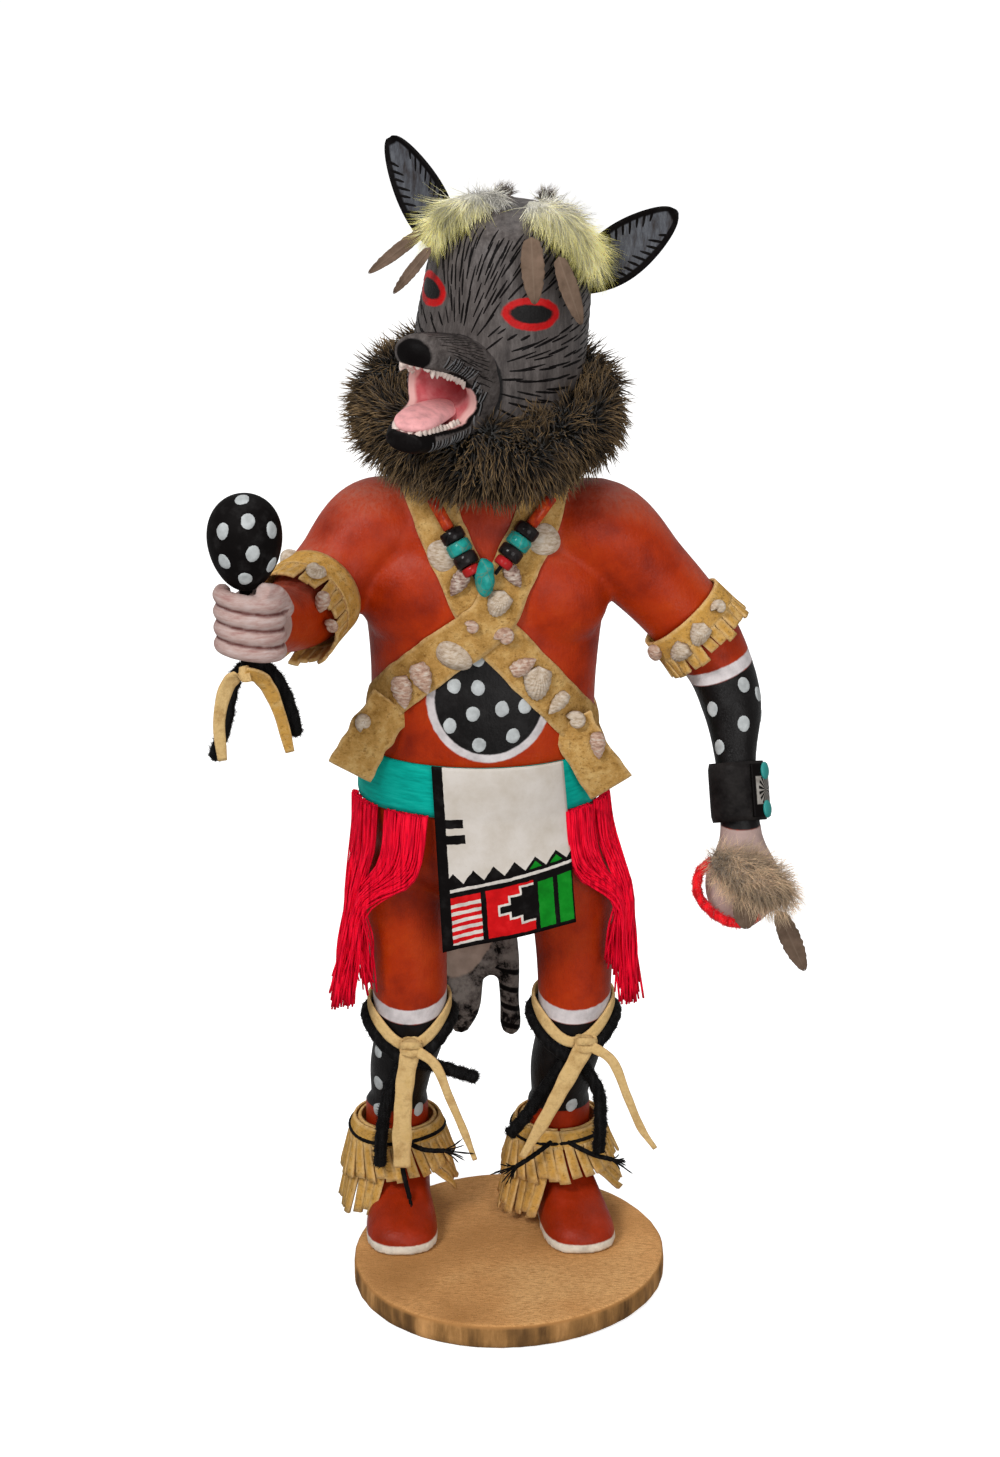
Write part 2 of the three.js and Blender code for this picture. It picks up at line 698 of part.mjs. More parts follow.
// Shells glued to the straps: [name, x, z, length, width, height, turn, lift above the wood].
const FLAT = GAP + LEATHER + GAP;
const RAISED = FLAT + LEATHER + GAP;
const SHELLS = [
  ["disc_right", -23.4, 266.6, 10, 9.4, 1.6, 30, FLAT + GAP],
  ["disc_left", 13.4, 271.6, 10, 9.4, 1.6, -30, FLAT],
  ["cockle_middle", -2.9, 252.8, 9.5, 8.4, 3, 20, RAISED + GAP],
  ["limpet", -19.2, 234.1, 13, 9.6, 4, -25, FLAT],
  ["whelk_upper", -28.5, 225.4, 11, 6.6, 4.2, 65, FLAT],
  ["whelk_lower", -35.4, 219.3, 11.5, 6.4, 4.2, 65, FLAT],
  ["periwinkle", -0.6, 240.6, 8.5, 7.5, 3.6, 40, RAISED],
  ["scallop", 9.2, 226, 11, 8.6, 3.6, 20, FLAT],
  ["cone", 15.8, 217.2, 10, 5, 3.6, 40, FLAT],
  ["nerite", 21.6, 210.4, 8.6, 7, 4.4, 10, RAISED],
];

function shell([, x, z, long, wide, high, turn, lift]) {
  const at = vector(x, chest(x, z, lift), z);
  const step = 0.5;
  const right = vector(x + step, chest(x + step, z, lift), z).sub(at);
  const above = vector(x, chest(x, z + step, lift), z + step).sub(at);
  const out = vector().crossVectors(right, above).normalize();
  const turned = right.normalize().applyAxisAngle(out, degToRad(turn));
  const frame = new THREE.Matrix4().makeBasis(turned, vector().crossVectors(out, turned), out);
  const floor = 0.5;
  const rows = [[0, 0.94], [0.35, 0.88], [0.75, 0.6], [1, 0.2]];
  const rings = rows.map(([t, shrink]) => {
    const half = pair((long / 2) * shrink, (wide / 2) * shrink);
    return ring(vector(0, 0, floor + high * t), vector(1, 0, 0), vector(0, 1, 0), half, 7, 0);
  });
  return solid(loft(rings), new THREE.Matrix4().setPosition(at).multiply(frame));
}

// The base: an uneven slice of log with eased rims.
function base() {
  const { wide, deep, thick, chamfer, wave } = BASE;
  const outline = (z, inset) =>
    Array.from({ length: 32 }, (_, k) => {
      const angle = (2 * Math.PI * k) / 32;
      const uneven = 1 + wave * Math.sin(2 * angle) + (wave / 2) * Math.cos(3 * angle + 0.6);
      return vector(Math.cos(angle) * (wide * uneven - inset), Math.sin(angle) * (deep * uneven - inset), z);
    });
  const rings = [
    outline(0, chamfer),
    outline(chamfer, 0),
    outline(thick - chamfer, 0),
    outline(thick, chamfer),
  ];
  return solid(loft(rings));
}

// Everything put together, each piece with its own name and finish.

const doll = new THREE.Group();

function add(name, finish, shape) {
  const made = shape.getMesh();
  const geometry = new THREE.BufferGeometry();
  geometry.setAttribute("position", new THREE.BufferAttribute(made.vertProperties, 3));
  geometry.setIndex(new THREE.BufferAttribute(made.triVerts, 1));
  geometry.computeVertexNormals();
  const [color, roughness] = FINISHES[finish];
  const mesh = new THREE.Mesh(geometry, new THREE.MeshStandardMaterial({ color, roughness, metalness: 0 }));
  mesh.name = name;
  doll.add(mesh);
}

add("base", "log", base());
add("figure", "body", figure(0).subtract(rattle(GAP)));
add("muzzle", "muzzle", muzzle(0));
add("tongue", "tongue", tongue());
add("ear_right", "ear", ear("right"));
add("ear_left", "ear", ear("left"));

const tubes = ["right", "left"].map((side) => bead(side, 0, BEADS[0], GAP));
add("fur_ruff", "fur", furRuff(tubes));
add("bandolier_under", "leather", bandolierUnder());
add("bandolier_over", "leather", bandolierOver());
add("belt", "belt", belt());
add("kilt_flap", "kilt", kiltFlap());
add("sash_fringe_right", "thread", sashFringe(-27, -88, [-47, 8, 102], [-56, 16, 99]));
add("sash_fringe_left", "thread", sashFringe(48, 92, [35, 8, 103], [43, 16, 100]));

add("rattle", "gourd", rattle(0));
const armbands = {
  right: cuff([-64.6, 13, 252.4], [-72.4, -3, 249], 15.8, 16.4, LEATHER),
  left: cuff([60, 28, 241], [69.5, 27.5, 230.5], 15.6, 16.4, LEATHER),
};
add("armband_right", "leather", armbands.right.subtract(skin));
add("armband_left", "leather", armbands.left.subtract(skin));
const guard = [[79.2, 11.2, 191.4], [80.6, 3.6, 172.4]];
add("bow_guard", "cuff", cuff(...guard, 8.4, 8.4, LEATHER).subtract(skin));
add("bow_guard_plaque", "turquoise",
  cuff(...guard, 10.1, 10.1, 1.4).intersect(box([9, 12, 40], [90, 3, 182])));

add("knee_thong_right", "leather", kneeThong(LEG_RIGHT, [-35, 26, 88.5], [-34.2, 10.6, 83.4], [
  strip([[-34.4, 9, 83], [-36.5, 7.6, 70], [-37.5, 6, 54], [-37.7, 6, 38]], 6.6, THONG, vector(1, 0, 0)),
  strip([[-33, 9, 83], [-26, 6, 79], [-20.5, 4.6, 66], [-15, 4.2, 52], [-11.5, 4, 42]], 3.6, THONG,
    vector(0.8, 0, 0.6), 6, 0.5),
]));
add("knee_thong_left", "leather", kneeThong(LEG_LEFT, [23.8, 26, 89], [28, 11.4, 84.6], [
  strip([[27.6, 9.6, 84], [21, 6.8, 72], [14, 6, 58], [5.4, 6, 42]], 6.6, THONG,
    vector(0.9, 0, -0.43), 6, 0.4),
  strip([[29, 9.6, 84.6], [37, 7, 80], [43, 5.4, 66], [48, 4.6, 54], [53, 4, 46.5]], 3.6, THONG,
    vector(0.8, 0, 0.6), 6, 0.5),
]));
add("knee_yarn_right", "yarn", kneeYarn([-35.6, 26.4, 83], 16.4, [
  [[-33, 12.6, 77], [-25, 11.6, 75.6], [-17, 9, 74], [-10.3, 7.4, 72.6]],
  [[-36.5, 12.4, 76.6], [-42, 10.8, 66], [-45, 9.6, 50], [-45.8, 8.6, 37]],
]));
add("knee_yarn_left", "yarn", kneeYarn([22.8, 26.4, 83.5], 16.4, [
  [[21, 12.6, 77], [14.5, 11.6, 68], [7.5, 11, 57], [0.6, 10, 48.6]],
  [[26, 12.6, 77], [32.6, 10.4, 66], [33.4, 9.4, 54], [32.8, 8.4, 42.5]],
]));
add("ankle_cuff_right", "leather", ankleCuff(BOOT.right, 20.5));
add("ankle_cuff_left", "leather", ankleCuff(BOOT.left, 21.5));
add("ankle_thread_right", "yarn", ankleThread(BOOT.right, [
  [[-37, 14.8, 44], [-30, 10, 43], [-22, 6, 44.5]],
  [[-39, 14.6, 44], [-37.5, 11, 34], [-35, 8, 24]],
]));
add("ankle_thread_left", "yarn", ankleThread(BOOT.left, [
  [[16.4, 14.8, 44], [10, 10, 41], [3, 6, 38]],
  [[21.4, 14.8, 44], [31, 10, 41], [38, 6, 41]],
]));
add("pelt", "pelt", pelt());

add("rattle_thong", "leather", strip(
  [[-94, -48.4, 215.4], [-94.6, -49.6, 230], [-91, -50.6, 242], [-85, -50.8, 245.4], [-79.6, -47.6, 241.5],
    [-75, -44.4, 229], [-72, -43, 216.4]], 5.6, THONG, vector(0.95, 0.1, 0.3), 14, 0.6));
add("rattle_yarn", "yarn", cord(
  [[-97, -44.6, 213], [-93, -43, 226], [-90.5, -40.4, 238], [-85.5, -38.6, 244.6], [-79, -38, 242.4],
    [-73.2, -38.4, 233], [-69.7, -39, 219.5]], YARN, 10));
const handYarnPath = [
  [69.6, -10.6, 160],
  [66, -10.4, 153],
  [68.6, -12, 146],
  [75, -15, 140.4],
  [83, -15.4, 138],
  [89, -14, 142],
];
add("hand_yarn", "thread", cord(handYarnPath, YARN, 9));
add("hand_down", "down", down(
  [[70, -13, 163, 3, 3], [77, -14.6, 160, 9, 4.4], [88, -14.6, 156, 10.5, 4.6], [97, -12, 150, 4, 3]],
  cord(handYarnPath, YARN + 2 * GAP, 9)));
add("hand_feather_long", "feather", feather([94, -7, 143], [103.4, -5.5, 121], 3.6, FORWARD));
add("hand_feather_short", "feather", feather([81, -20.6, 150], [82, -19.8, 138], 4.4, FORWARD));
add("head_down_right", "down", down([[-4, 10, 389, 3, 3], [-11, 9, 386, 7, 4.6], [-20, 9.5, 379, 8, 5],
  [-29.5, 13, 369, 3, 2.4]]));
add("head_down_left", "down", down([[2, 8, 387, 3, 3], [10, 4.5, 382, 8, 5], [21, 4, 374, 8.5, 5],
  [31, 8, 362, 3, 2.4]]));
add("head_feather_outer_right", "feather", feather([-29, 20, 376], [-45.5, 19, 362.5], 2.6, FORWARD));
add("head_feather_inner_right", "feather", feather([-29.8, 8.8, 371.4], [-37, 10, 356.6], 2.4, FORWARD));
add("head_feather_inner_left", "feather", feather([7, -3.6, 376.4], [9.3, -5.4, 357.6], 3.2, FORWARD));
add("head_feather_outer_left", "feather", feather([17.2, -2.6, 370.2], [24.6, -0.6, 350], 2.6, FORWARD));

for (const side of ["right", "left"]) {
  let start = 0;
  for (const part of BEADS) {
    add(`bead_${part.name}_${side}`, part.finish, bead(side, start, part));
    start += part.long + BEAD_GAP;
  }
}
add("pendant", "turquoise", pendant());
for (const row of SHELLS) add(`shell_${row[0]}`, "shell", shell(row));

export default doll;
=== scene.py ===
"""The looks of a carved wolf dancer doll: paint, fur, leather, shells, beads, feathers, yarn and cloth."""

import math
import random

import bmesh
import bpy
import numpy as np
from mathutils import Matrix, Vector, noise
from mathutils.bvhtree import BVHTree


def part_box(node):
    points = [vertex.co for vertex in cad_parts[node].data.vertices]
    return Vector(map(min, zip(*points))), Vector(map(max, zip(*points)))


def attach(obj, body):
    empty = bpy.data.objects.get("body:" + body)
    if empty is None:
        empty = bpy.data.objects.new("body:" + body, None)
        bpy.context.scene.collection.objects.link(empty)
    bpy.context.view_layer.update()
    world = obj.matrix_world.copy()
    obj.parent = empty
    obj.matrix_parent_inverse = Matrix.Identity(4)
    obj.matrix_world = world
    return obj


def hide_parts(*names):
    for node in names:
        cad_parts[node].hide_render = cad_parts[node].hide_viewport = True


bl_info = {
    "name": "Wolf Dancer Doll",
    "version": (1, 0, 0),
    "blender": (4, 5, 0),
    "location": "3D View > Sidebar > Doll",
    "description": "Builds the finished looks of a carved and dressed doll around its CAD frame",
    "category": "Object",
}

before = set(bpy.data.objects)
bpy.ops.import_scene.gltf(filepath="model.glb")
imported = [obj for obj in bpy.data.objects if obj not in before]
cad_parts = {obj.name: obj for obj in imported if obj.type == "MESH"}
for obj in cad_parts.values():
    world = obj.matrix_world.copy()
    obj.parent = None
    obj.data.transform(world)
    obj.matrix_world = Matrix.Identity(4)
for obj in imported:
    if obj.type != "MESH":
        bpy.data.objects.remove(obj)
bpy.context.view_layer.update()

MM = 0.001

# The camera, in millimetres and degrees, and the photograph's own pixels.
PHOTO_WIDE, PHOTO_HIGH = 1000, 1457
FOCAL_PIXELS = 3735.6
CAMERA_AIM = np.array([-2.52, 20.0, 200.64])
CAMERA_AWAY = 1300.0
CAMERA_DOWN = math.radians(20.0)
CAMERA_FORWARD = np.array([0, math.cos(CAMERA_DOWN), -math.sin(CAMERA_DOWN)])
CAMERA_AT = CAMERA_AIM - CAMERA_FORWARD * CAMERA_AWAY
SENSOR = 36.0

# The finest steps of the skins that have no setting of their own.
HAND_GRAIN, TRUNK_GRAIN, PELT_GRAIN = 0.7, 1.3, 1.2

# The body, as [x, y, z, half width, half depth] stations in millimetres.
SOLE = 9.1
TORSO = [
    (-7.5, 31, 131, 13, 8),
    (-7.5, 31, 139, 27, 17),
    (-8, 29, 148, 37.5, 24.5),
    (-9.5, 28, 168, 41, 27),
    (-9.5, 26.5, 190, 40.5, 27.5),
    (-8.5, 26, 212, 39, 26.5),
    (-8, 27, 232, 40, 24.5),
    (-8, 27.5, 252, 42.5, 23.5),
    (-8, 28.5, 268, 43, 21.5),
    (-8, 29, 279, 39.5, 19),
    (-8, 29, 288, 28, 16),
    (-8, 28, 300, 17, 16),
    (-8, 28, 314, 16, 16),
]
BREASTS = [((-27, 18.6, 250), (24, 14, 21)), ((11, 18.6, 250), (24, 14, 21))]
LEG_RIGHT = [
    (-27, 29, 165, 17),
    (-37.5, 28, 141, 16.8),
    (-35.8, 27, 118, 14.4),
    (-34.8, 26, 95, 13.2),
    (-35, 26, 83, 12.6),
    (-38.3, 28, 68, 11.3),
    (-39.7, 30, 53, 9.5),
]
LEG_LEFT = [
    (11, 29, 165, 17),
    (22.5, 28, 141, 16.5),
    (23.9, 27, 118, 14),
    (24.1, 26, 95, 13),
    (23.1, 26, 83, 12.5),
    (20, 28, 68, 11.6),
    (18.8, 30, 53, 9.7),
]
ARM_RIGHT = [
    (-28, 29, 264, 15),
    (-43.5, 28, 271, 18),
    (-58.5, 20, 258, 15.4),
    (-67.5, 8, 250.5, 14),
    (-74, -10, 251, 11.6),
    (-80, -28, 256, 10.2),
    (-83.5, -40, 260, 10),
]
ARM_LEFT = [
    (12, 29, 264, 15),
    (30, 28, 270.5, 18),
    (49, 28, 254, 15.2),
    (66, 28, 234, 13.6),
    (74, 26, 221, 11.6),
    (78, 20, 209, 10.4),
    (79, 12, 194, 7.4),
    (80, 6, 180, 6.8),
    (81, 1, 167, 7.8, 6.4),
    (81.5, -3, 155, 13, 7),
    (81, -5, 144, 11, 7),
    (80.5, -6, 137.5, 5, 4),
]
# A foot's sections from heel to toe: share of the length, half width and height.
FOOT = [
    (0, 5, 13),
    (0.06, 8, 20),
    (0.25, 10.6, 26),
    (0.45, 11.6, 22),
    (0.65, 12.9, 15.5),
    (0.85, 12.2, 11),
    (0.96, 8.4, 8),
    (1, 3.5, 5),
]
FEET = [((-40, 47), (-37.2, -7.5)), ((17.5, 47), (29, -6))]
BOOTS = [(-40, 31), (18.8, 31)]
FIST = np.array([-84.0, -43.0, 261.5])
FINGER_PITCH, FINGER_TILT = 5.6, 0.15
RATTLE_AXIS = (-85.2, -44.5)
RATTLE_SPAN = (272.0, 304.5)
RATTLE_GIRTH = 12.2

# The head stands at HEAD_AT, turned and leaned; its own frame has the face along -Y.
HEAD_AT = np.array([-8.0, 28.0, 294.0])
HEAD_TURN, HEAD_LEAN = math.radians(-28), math.radians(7.5)
SKULL = [
    (0, 0, -4, 22, 22),
    (0, 0, 10, 28.5, 29.5),
    (0, 0, 32, 29.2, 30.5),
    (0, 0, 56, 28.4, 29.5),
    (0, 0, 74, 26.4, 27.4),
    (0, 0.5, 84, 22, 23),
    (0, 0.5, 90, 13, 14),
]
CHEEKS = [
    (0, -12, 33, 15, 16.4),
    (0, -28, 33, 15, 16.4),
    (0, -35, 33.4, 14.4, 15.6),
    (0.3, -42, 34.4, 12, 13),
]
UPPER_JAW = [
    (0, -26, 40, 13.4, 9),
    (0, -38, 42.6, 13.2, 9),
    (0.6, -50, 46.4, 11.4, 7.6),
    (1.1, -58, 48.6, 9.6, 6.6),
    (1.3, -63.4, 49.6, 7.4, 5.4),
    (1.3, -64.8, 49.6, 5.6, 4),
]
LOWER_JAW = [
    (0, -24, 25, 13.4, 8.5),
    (0, -40, 22.6, 12.8, 7),
    (0.7, -52, 20.8, 10.6, 5.6),
    (1.3, -60, 20.2, 8.4, 4.6),
    (1.6, -64.5, 20.4, 6.4, 3.6),
]
NOSE = ((1.3, -63, 49.8), (6.0, 3.0, 5.0))
GAPE = [
    (-80, 47.4),
    (-64, 45.6),
    (-55, 43.2),
    (-49.5, 41.3),
    (-44, 38.7),
    (-40.2, 35.5),
    (-38, 32),
    (-37.8, 28),
    (-40.4, 25),
    (-46, 24),
    (-55, 23.6),
    (-66, 23.3),
    (-80, 23),
]
MOUTH_HOLLOWS = [
    ((0, -41, 34), (9.4, 9.6, 7.6)),
    ((0.6, -50, 43), (8, 11, 3.6)),
    ((0.8, -51, 24), (8.4, 11.5, 2.6)),
]
TONGUE = [
    (0, -33, 26.6, 5, 2.2),
    (0.3, -45, 26.4, 7.0, 3.0),
    (0.9, -55, 25.9, 7.2, 3.0),
    (1.4, -60.5, 25.3, 6.0, 2.4),
    (1.6, -64.4, 25, 3.2, 1.2),
]
EARS = {"right": ((-26, 3, 70), math.radians(-40.5)), "left": ((26, 3, 70), math.radians(45))}
EAR_LONG, EAR_HALF, EAR_THICK, EAR_CUP = 42.0, 9.2, 2.4, 2.4
EYES = [(math.radians(-38), 61.0), (math.radians(45), 60.4)]
EYE_RING, EYE_PUPIL = (10.5, 5.6), (7.8, 3.2)
SEAM_AT, SEAM = 33.0, (16.0, 17.2)

# The dress.
RUFF_AT, RUFF_MAJOR, RUFF_SKIN, RUFF_TILT = (-6.8, 27, 314.4), 31.8, 10.6, math.radians(17)
BELT_SPAN = (175.0, 194.0)
STRAP_CROSS = (-7.3, 245.0)
STRAP_LOOPS = {
    "under": [
        (-28, 30, 290),
        (-22.5, 10.8, 277),
        (-17.1, 6.6, 264),
        (-8, 3.4, 245),
        (3.3, 3.5, 232),
        (13.9, 5.2, 220),
        (24.4, 11.7, 207),
        (30.6, 26, 198),
        (22, 43, 208),
        (7, 49, 224),
        (-8, 51, 247),
        (-21, 48, 270),
    ],
    "over": [
        (12, 30, 290),
        (9.7, 11.4, 277),
        (2.6, 6.8, 264),
        (-6.9, 3.4, 245),
        (-18.5, 3.7, 236),
        (-30.2, 6, 226),
        (-38.6, 9.9, 218),
        (-47.6, 27, 204),
        (-38, 43, 212),
        (-23, 49, 226),
        (-8, 51, 247),
        (5, 48, 270),
    ],
}
STRAP_TAILS = {
    "under": [(21.5, 7.2, 208), (28.5, 4.6, 196), (36, 6.4, 184)],
    "over": [(-39, 7.6, 214.5), (-47, 4.8, 204), (-54.5, 6.0, 190)],
}
BELLY_AT, BELLY_RING, BELLY_BLACK = (-6.3, 217.2), 21.4, 18.6
# Heights between the painted areas: the forearm's cuff, the hand, the knee band, the boot and the sole.
CUFF, HAND_TOP, KNEE, BOOT_TOP, SOLE_TOP = (221.6, 226.2), 172.0, (90.8, 96.4), 53.4, 12.9
# How far the edges of brush strokes and dabs go into the skin, and a dab's width.
STROKE_SINK, DAB_SINK, DAB_WIDE = 0.02, 0.12, 5.0
# An ankle skirt's top, neck and fall, its swing round by the foot, and how much longer it is at one side.
ANKLE_TOP, ANKLE_NECK, ANKLE_FALL = 47.5, 13.0, 30.5
ANKLE_SWING, ANKLE_UNEVEN = math.radians(26), 0.12
ANKLE_TIE_HIGH, ANKLE_TIE_OUT = 43.4, 17.2
ANKLE_THREADS = {
    "right": [
        [(-37, 14.8, 44), (-30, 10, 43), (-22, 6, 44.5)],
        [(-39, 14.6, 44), (-37.5, 11, 34), (-35, 8, 24)],
    ],
    "left": [
        [(16.4, 14.8, 44), (10, 10, 41), (3, 6, 38)],
        [(21.4, 14.8, 44), (31, 10, 41), (38, 6, 41)],
    ],
}
# An armband's upper and lower middle and its radius at each.
ARMBANDS = {
    "right": ((-64.6, 13, 252.4), (-72.4, -3, 249), 15.3, 16.2),
    "left": ((60, 28, 241), (69.5, 27.5, 230.5), 15.3, 16.2),
}
# The sash: the oval under the belt that its threads hang from, its height, and at each hip the threads'
# angles in degrees, where they gather, where most of them end and where the loose ones do.
SASH_OVAL, SASH_TOP = ((-9.5, 27.8), (41.0, 27.0)), 175.5
SASH_RUNS = {
    "right": ((-24, -88), (-53, 7, 140), (-59, 12, 101), (-49.5, 13, 104)),
    "left": ((42, 92), (40.6, 7, 142), (43.2, 12, 103), (37.6, 13, 112)),
}
# The bow guard's ends and inner radius, half its plate's length and the plate's radii.
GUARD_ENDS, GUARD_INSIDE = ((79.2, 11.2, 191.4), (80.6, 3.6, 172.4)), 8.5
PLATE_HALF, PLATE_INNER, PLATE_OUTER = 9.2, 9.9, 10.9


# Shapes.


def smooth_run(points, count):
    """Points of a smooth curve through the given ones; columns after the third go along."""
    given = np.asarray(points, float)
    ends = np.vstack([2 * given[0] - given[1], given, 2 * given[-1] - given[-2]])
    at = np.linspace(0, len(given) - 1, count)
    low = np.minimum(at.astype(int), len(given) - 2)
    part = (at - low)[:, None]
    before, start, end, after = (ends[low + k] for k in range(4))

    def apart(p, q):
        return np.maximum(np.linalg.norm((q - p)[:, :3], axis=1), 1e-6)[:, None] ** 0.5

    first, middle, last = apart(before, start), apart(start, end), apart(end, after)
    leave = middle * ((start - before) / first - (end - before) / (first + middle)) + (end - start)
    reach = (end - start) - middle * ((after - start) / (middle + last) - (after - end) / last)
    bend = 3 * (end - start) - 2 * leave - reach
    twist = 2 * (start - end) + leave + reach
    return start + leave * part + bend * part**2 + twist * part**3


def unit(vectors):
    """The same vectors at length one."""
    vectors = np.asarray(vectors, float)
    return vectors / np.maximum(np.linalg.norm(vectors, axis=-1, keepdims=True), 1e-9)


def full_turn(count):
    """Angles evenly round a circle."""
    return np.linspace(0, 2 * np.pi, count, endpoint=False)


def lattice(rows, columns):
    """Two grids: one goes from row to row, the other from column to column."""
    return np.meshgrid(rows, columns, indexing="ij")


def spokes(across, front, turn):
    """Directions at each turn between two cross directions."""
    return across * np.cos(turn)[..., None] + front * np.sin(turn)[..., None]


def uneven(x, y, z):
    """Smooth noise at each of these places."""
    places = np.stack(np.broadcast_arrays(x, y, z), -1)
    return np.apply_along_axis(noise.noise, -1, places)


def both_faces(grid):
    """A grid's numbers for both faces of a slab."""
    return np.concatenate([grid, grid[:, ::-1]], 1).ravel()


def stack(rings, looped=False):
    """A skin over rings of equally many points, as vertices and faces; closed at its ends or looped."""
    rings = np.asarray(rings, float)
    rows, sides = rings.shape[:2]
    index = np.arange(rows * sides).reshape(rows, sides)
    lower = index if looped else index[:-1]
    upper = np.roll(index, -1, 0) if looped else index[1:]
    quads = np.stack([lower, np.roll(lower, -1, 1), np.roll(upper, -1, 1), upper], -1)
    faces = quads.reshape(-1, 4).tolist()
    if not looped:
        faces += [index[0][::-1].tolist(), index[-1].tolist()]
    return rings.reshape(-1, 3), faces


def tube(stations, facing=None, sides=32, steps=48):
    """A rounded run through stations of [x, y, z, half width, half depth]; level sections with no facing."""
    given = [tuple(s) + (s[3],) * (5 - len(s)) for s in stations]
    path = smooth_run(given, steps)
    across, front = np.array([[1.0, 0, 0]]), np.array([[0, 1.0, 0]])
    if facing is not None:
        along = unit(np.gradient(path[:, :3], axis=0))
        across = unit(np.cross(along, facing))
        front = np.cross(along, across)
    turn = full_turn(sides)
    wide = np.maximum(path[:, 3:4], 0.05) * np.cos(turn)
    deep = np.maximum(path[:, 4:5], 0.05) * np.sin(turn)
    rings = path[:, None, :3] + across[:, None] * wide[..., None] + front[:, None] * deep[..., None]
    return stack(rings)


def ball(at, radii, sides=28, rows=16):
    """An ellipsoid."""
    polar = np.linspace(0, np.pi, rows + 2)[1:-1, None]
    turn = full_turn(sides)
    unit_rings = np.stack(
        [np.sin(polar) * np.cos(turn), np.sin(polar) * np.sin(turn), np.cos(polar) + 0 * turn], -1
    )
    return stack(unit_rings[::-1] * np.asarray(radii, float) + np.asarray(at, float))


def lathe(profile, at=(0, 0, 0), axis=(0, 0, 1), sides=28):
    """A turned solid from (distance along the axis, radius) pairs."""
    axis = unit(axis)
    helper = (1, 0, 0) if abs(axis[0]) < 0.9 else (0, 1, 0)
    across = unit(np.cross(axis, helper))
    front = np.cross(axis, across)
    spoke = spokes(across, front, full_turn(sides))
    rings = [np.asarray(at, float) + axis * along + spoke * max(radius, 0.02) for along, radius in profile]
    return stack(rings)


def carried(path):
    """Tangents and two cross directions carried along a path without twisting."""
    path = np.asarray(path, float)
    along = unit(np.gradient(path, axis=0))
    helper = np.array([0, 0, 1.0]) if abs(along[0][2]) < 0.9 else np.array([1.0, 0, 0])
    across = [unit(np.cross(along[0], helper))]
    for tangent in along[1:]:
        across.append(unit(across[-1] - tangent * np.dot(across[-1], tangent)))
    across = np.array(across)
    return along, across, np.cross(along, across)


def plied(path, diameter, pitch=4.5, plies=2, sides=12, step=0.7):
    """A twisted yarn along a path."""
    length = np.linalg.norm(np.diff(np.asarray(path, float), axis=0), axis=1).sum()
    line = smooth_run(path, max(8, int(length / step)))
    _, across, front = carried(line)
    turn = full_turn(sides)
    travel = np.linspace(0, length, len(line))[:, None]
    lobes = np.abs(np.cos(plies / 2 * turn - np.pi * travel / pitch))
    radius = diameter / 2 * (0.84 + 0.16 * lobes)
    radius[[0, -1]] *= 0.4
    rings = line[:, None] + across[:, None] * (radius * np.cos(turn))[..., None]
    rings = rings + front[:, None] * (radius * np.sin(turn))[..., None]
    return stack(rings)


def slab(inner, outer, looped=False):
    """A closed sheet between two grids of points (rows, columns, 3)."""
    inner, outer = np.asarray(inner, float), np.asarray(outer, float)
    return stack(np.concatenate([inner, outer[:, ::-1]], 1), looped)


def ribbon(path, wideways, wide, thick, steps=40, across_count=7, tip=1.0, wobble=0.0, seed=0):
    """A flat strip along a path: wideways is the direction of its width, tip its end's share of it."""
    line = smooth_run(path, steps)
    along = unit(np.gradient(line, axis=0))
    side = unit(wideways - along * (along @ np.asarray(wideways, float))[:, None])
    out = unit(np.cross(side, along))
    share = np.linspace(0, 1, steps)
    half = wide / 2 * (1 + (tip - 1) * share**2)
    if wobble:
        half = half * (1 + wobble * uneven(share * 6, seed, 0.3))
    reach = np.linspace(-1, 1, across_count)
    grid = line[:, None] + side[:, None] * (half[:, None] * reach)[..., None]
    swell = thick / 2 * (1 - 0.45 * np.abs(reach) ** 6)
    lift = out[:, None] * swell[None, :, None]
    return slab(grid - lift, grid + lift)


def turned(points, axis, angle):
    """Points turned about an axis through the origin."""
    points = np.asarray(points, float)
    axis = unit(axis)
    cosine, sine = math.cos(angle), math.sin(angle)
    return points * cosine + np.cross(axis, points) * sine + np.outer(points @ axis, axis) * (1 - cosine)


def head_axes():
    """The head's own axes as rows, in the doll's frame."""
    axes = turned(np.eye(3), (0, 0, 1), HEAD_TURN)
    return turned(axes, (0, 1, 0), HEAD_LEAN)


def from_head(points):
    """Points of the head's frame in the doll's frame."""
    return np.asarray(points, float) @ head_axes() + HEAD_AT


def to_head(points):
    """Points of the doll's frame in the head's frame."""
    return (np.asarray(points, float) - HEAD_AT) @ head_axes().T


def on_head(shell):
    """A shell made in the head's frame, moved onto the doll."""
    return from_head(shell[0]), shell[1]


# Meshes and pieces.


def joined(shells):
    """Several shells as one list of vertices and faces."""
    points, faces, start = [], [], 0
    for shell_points, shell_faces in shells:
        points.append(np.asarray(shell_points, float))
        faces += [[i + start for i in face] for face in shell_faces]
        start += len(shell_points)
    return np.vstack(points), faces


def new_object(name, shells):
    """A mesh object made of shells in millimetres, with its faces pointing outward."""
    points, faces = joined(shells)
    mesh = bpy.data.meshes.new(name)
    mesh.from_pydata((points * MM).tolist(), [], faces)
    work = bmesh.new()
    work.from_mesh(mesh)
    bmesh.ops.recalc_face_normals(work, faces=work.faces)
    work.to_mesh(mesh)
    work.free()
    piece = bpy.data.objects.new(name, mesh)
    bpy.context.collection.objects.link(piece)
    return piece


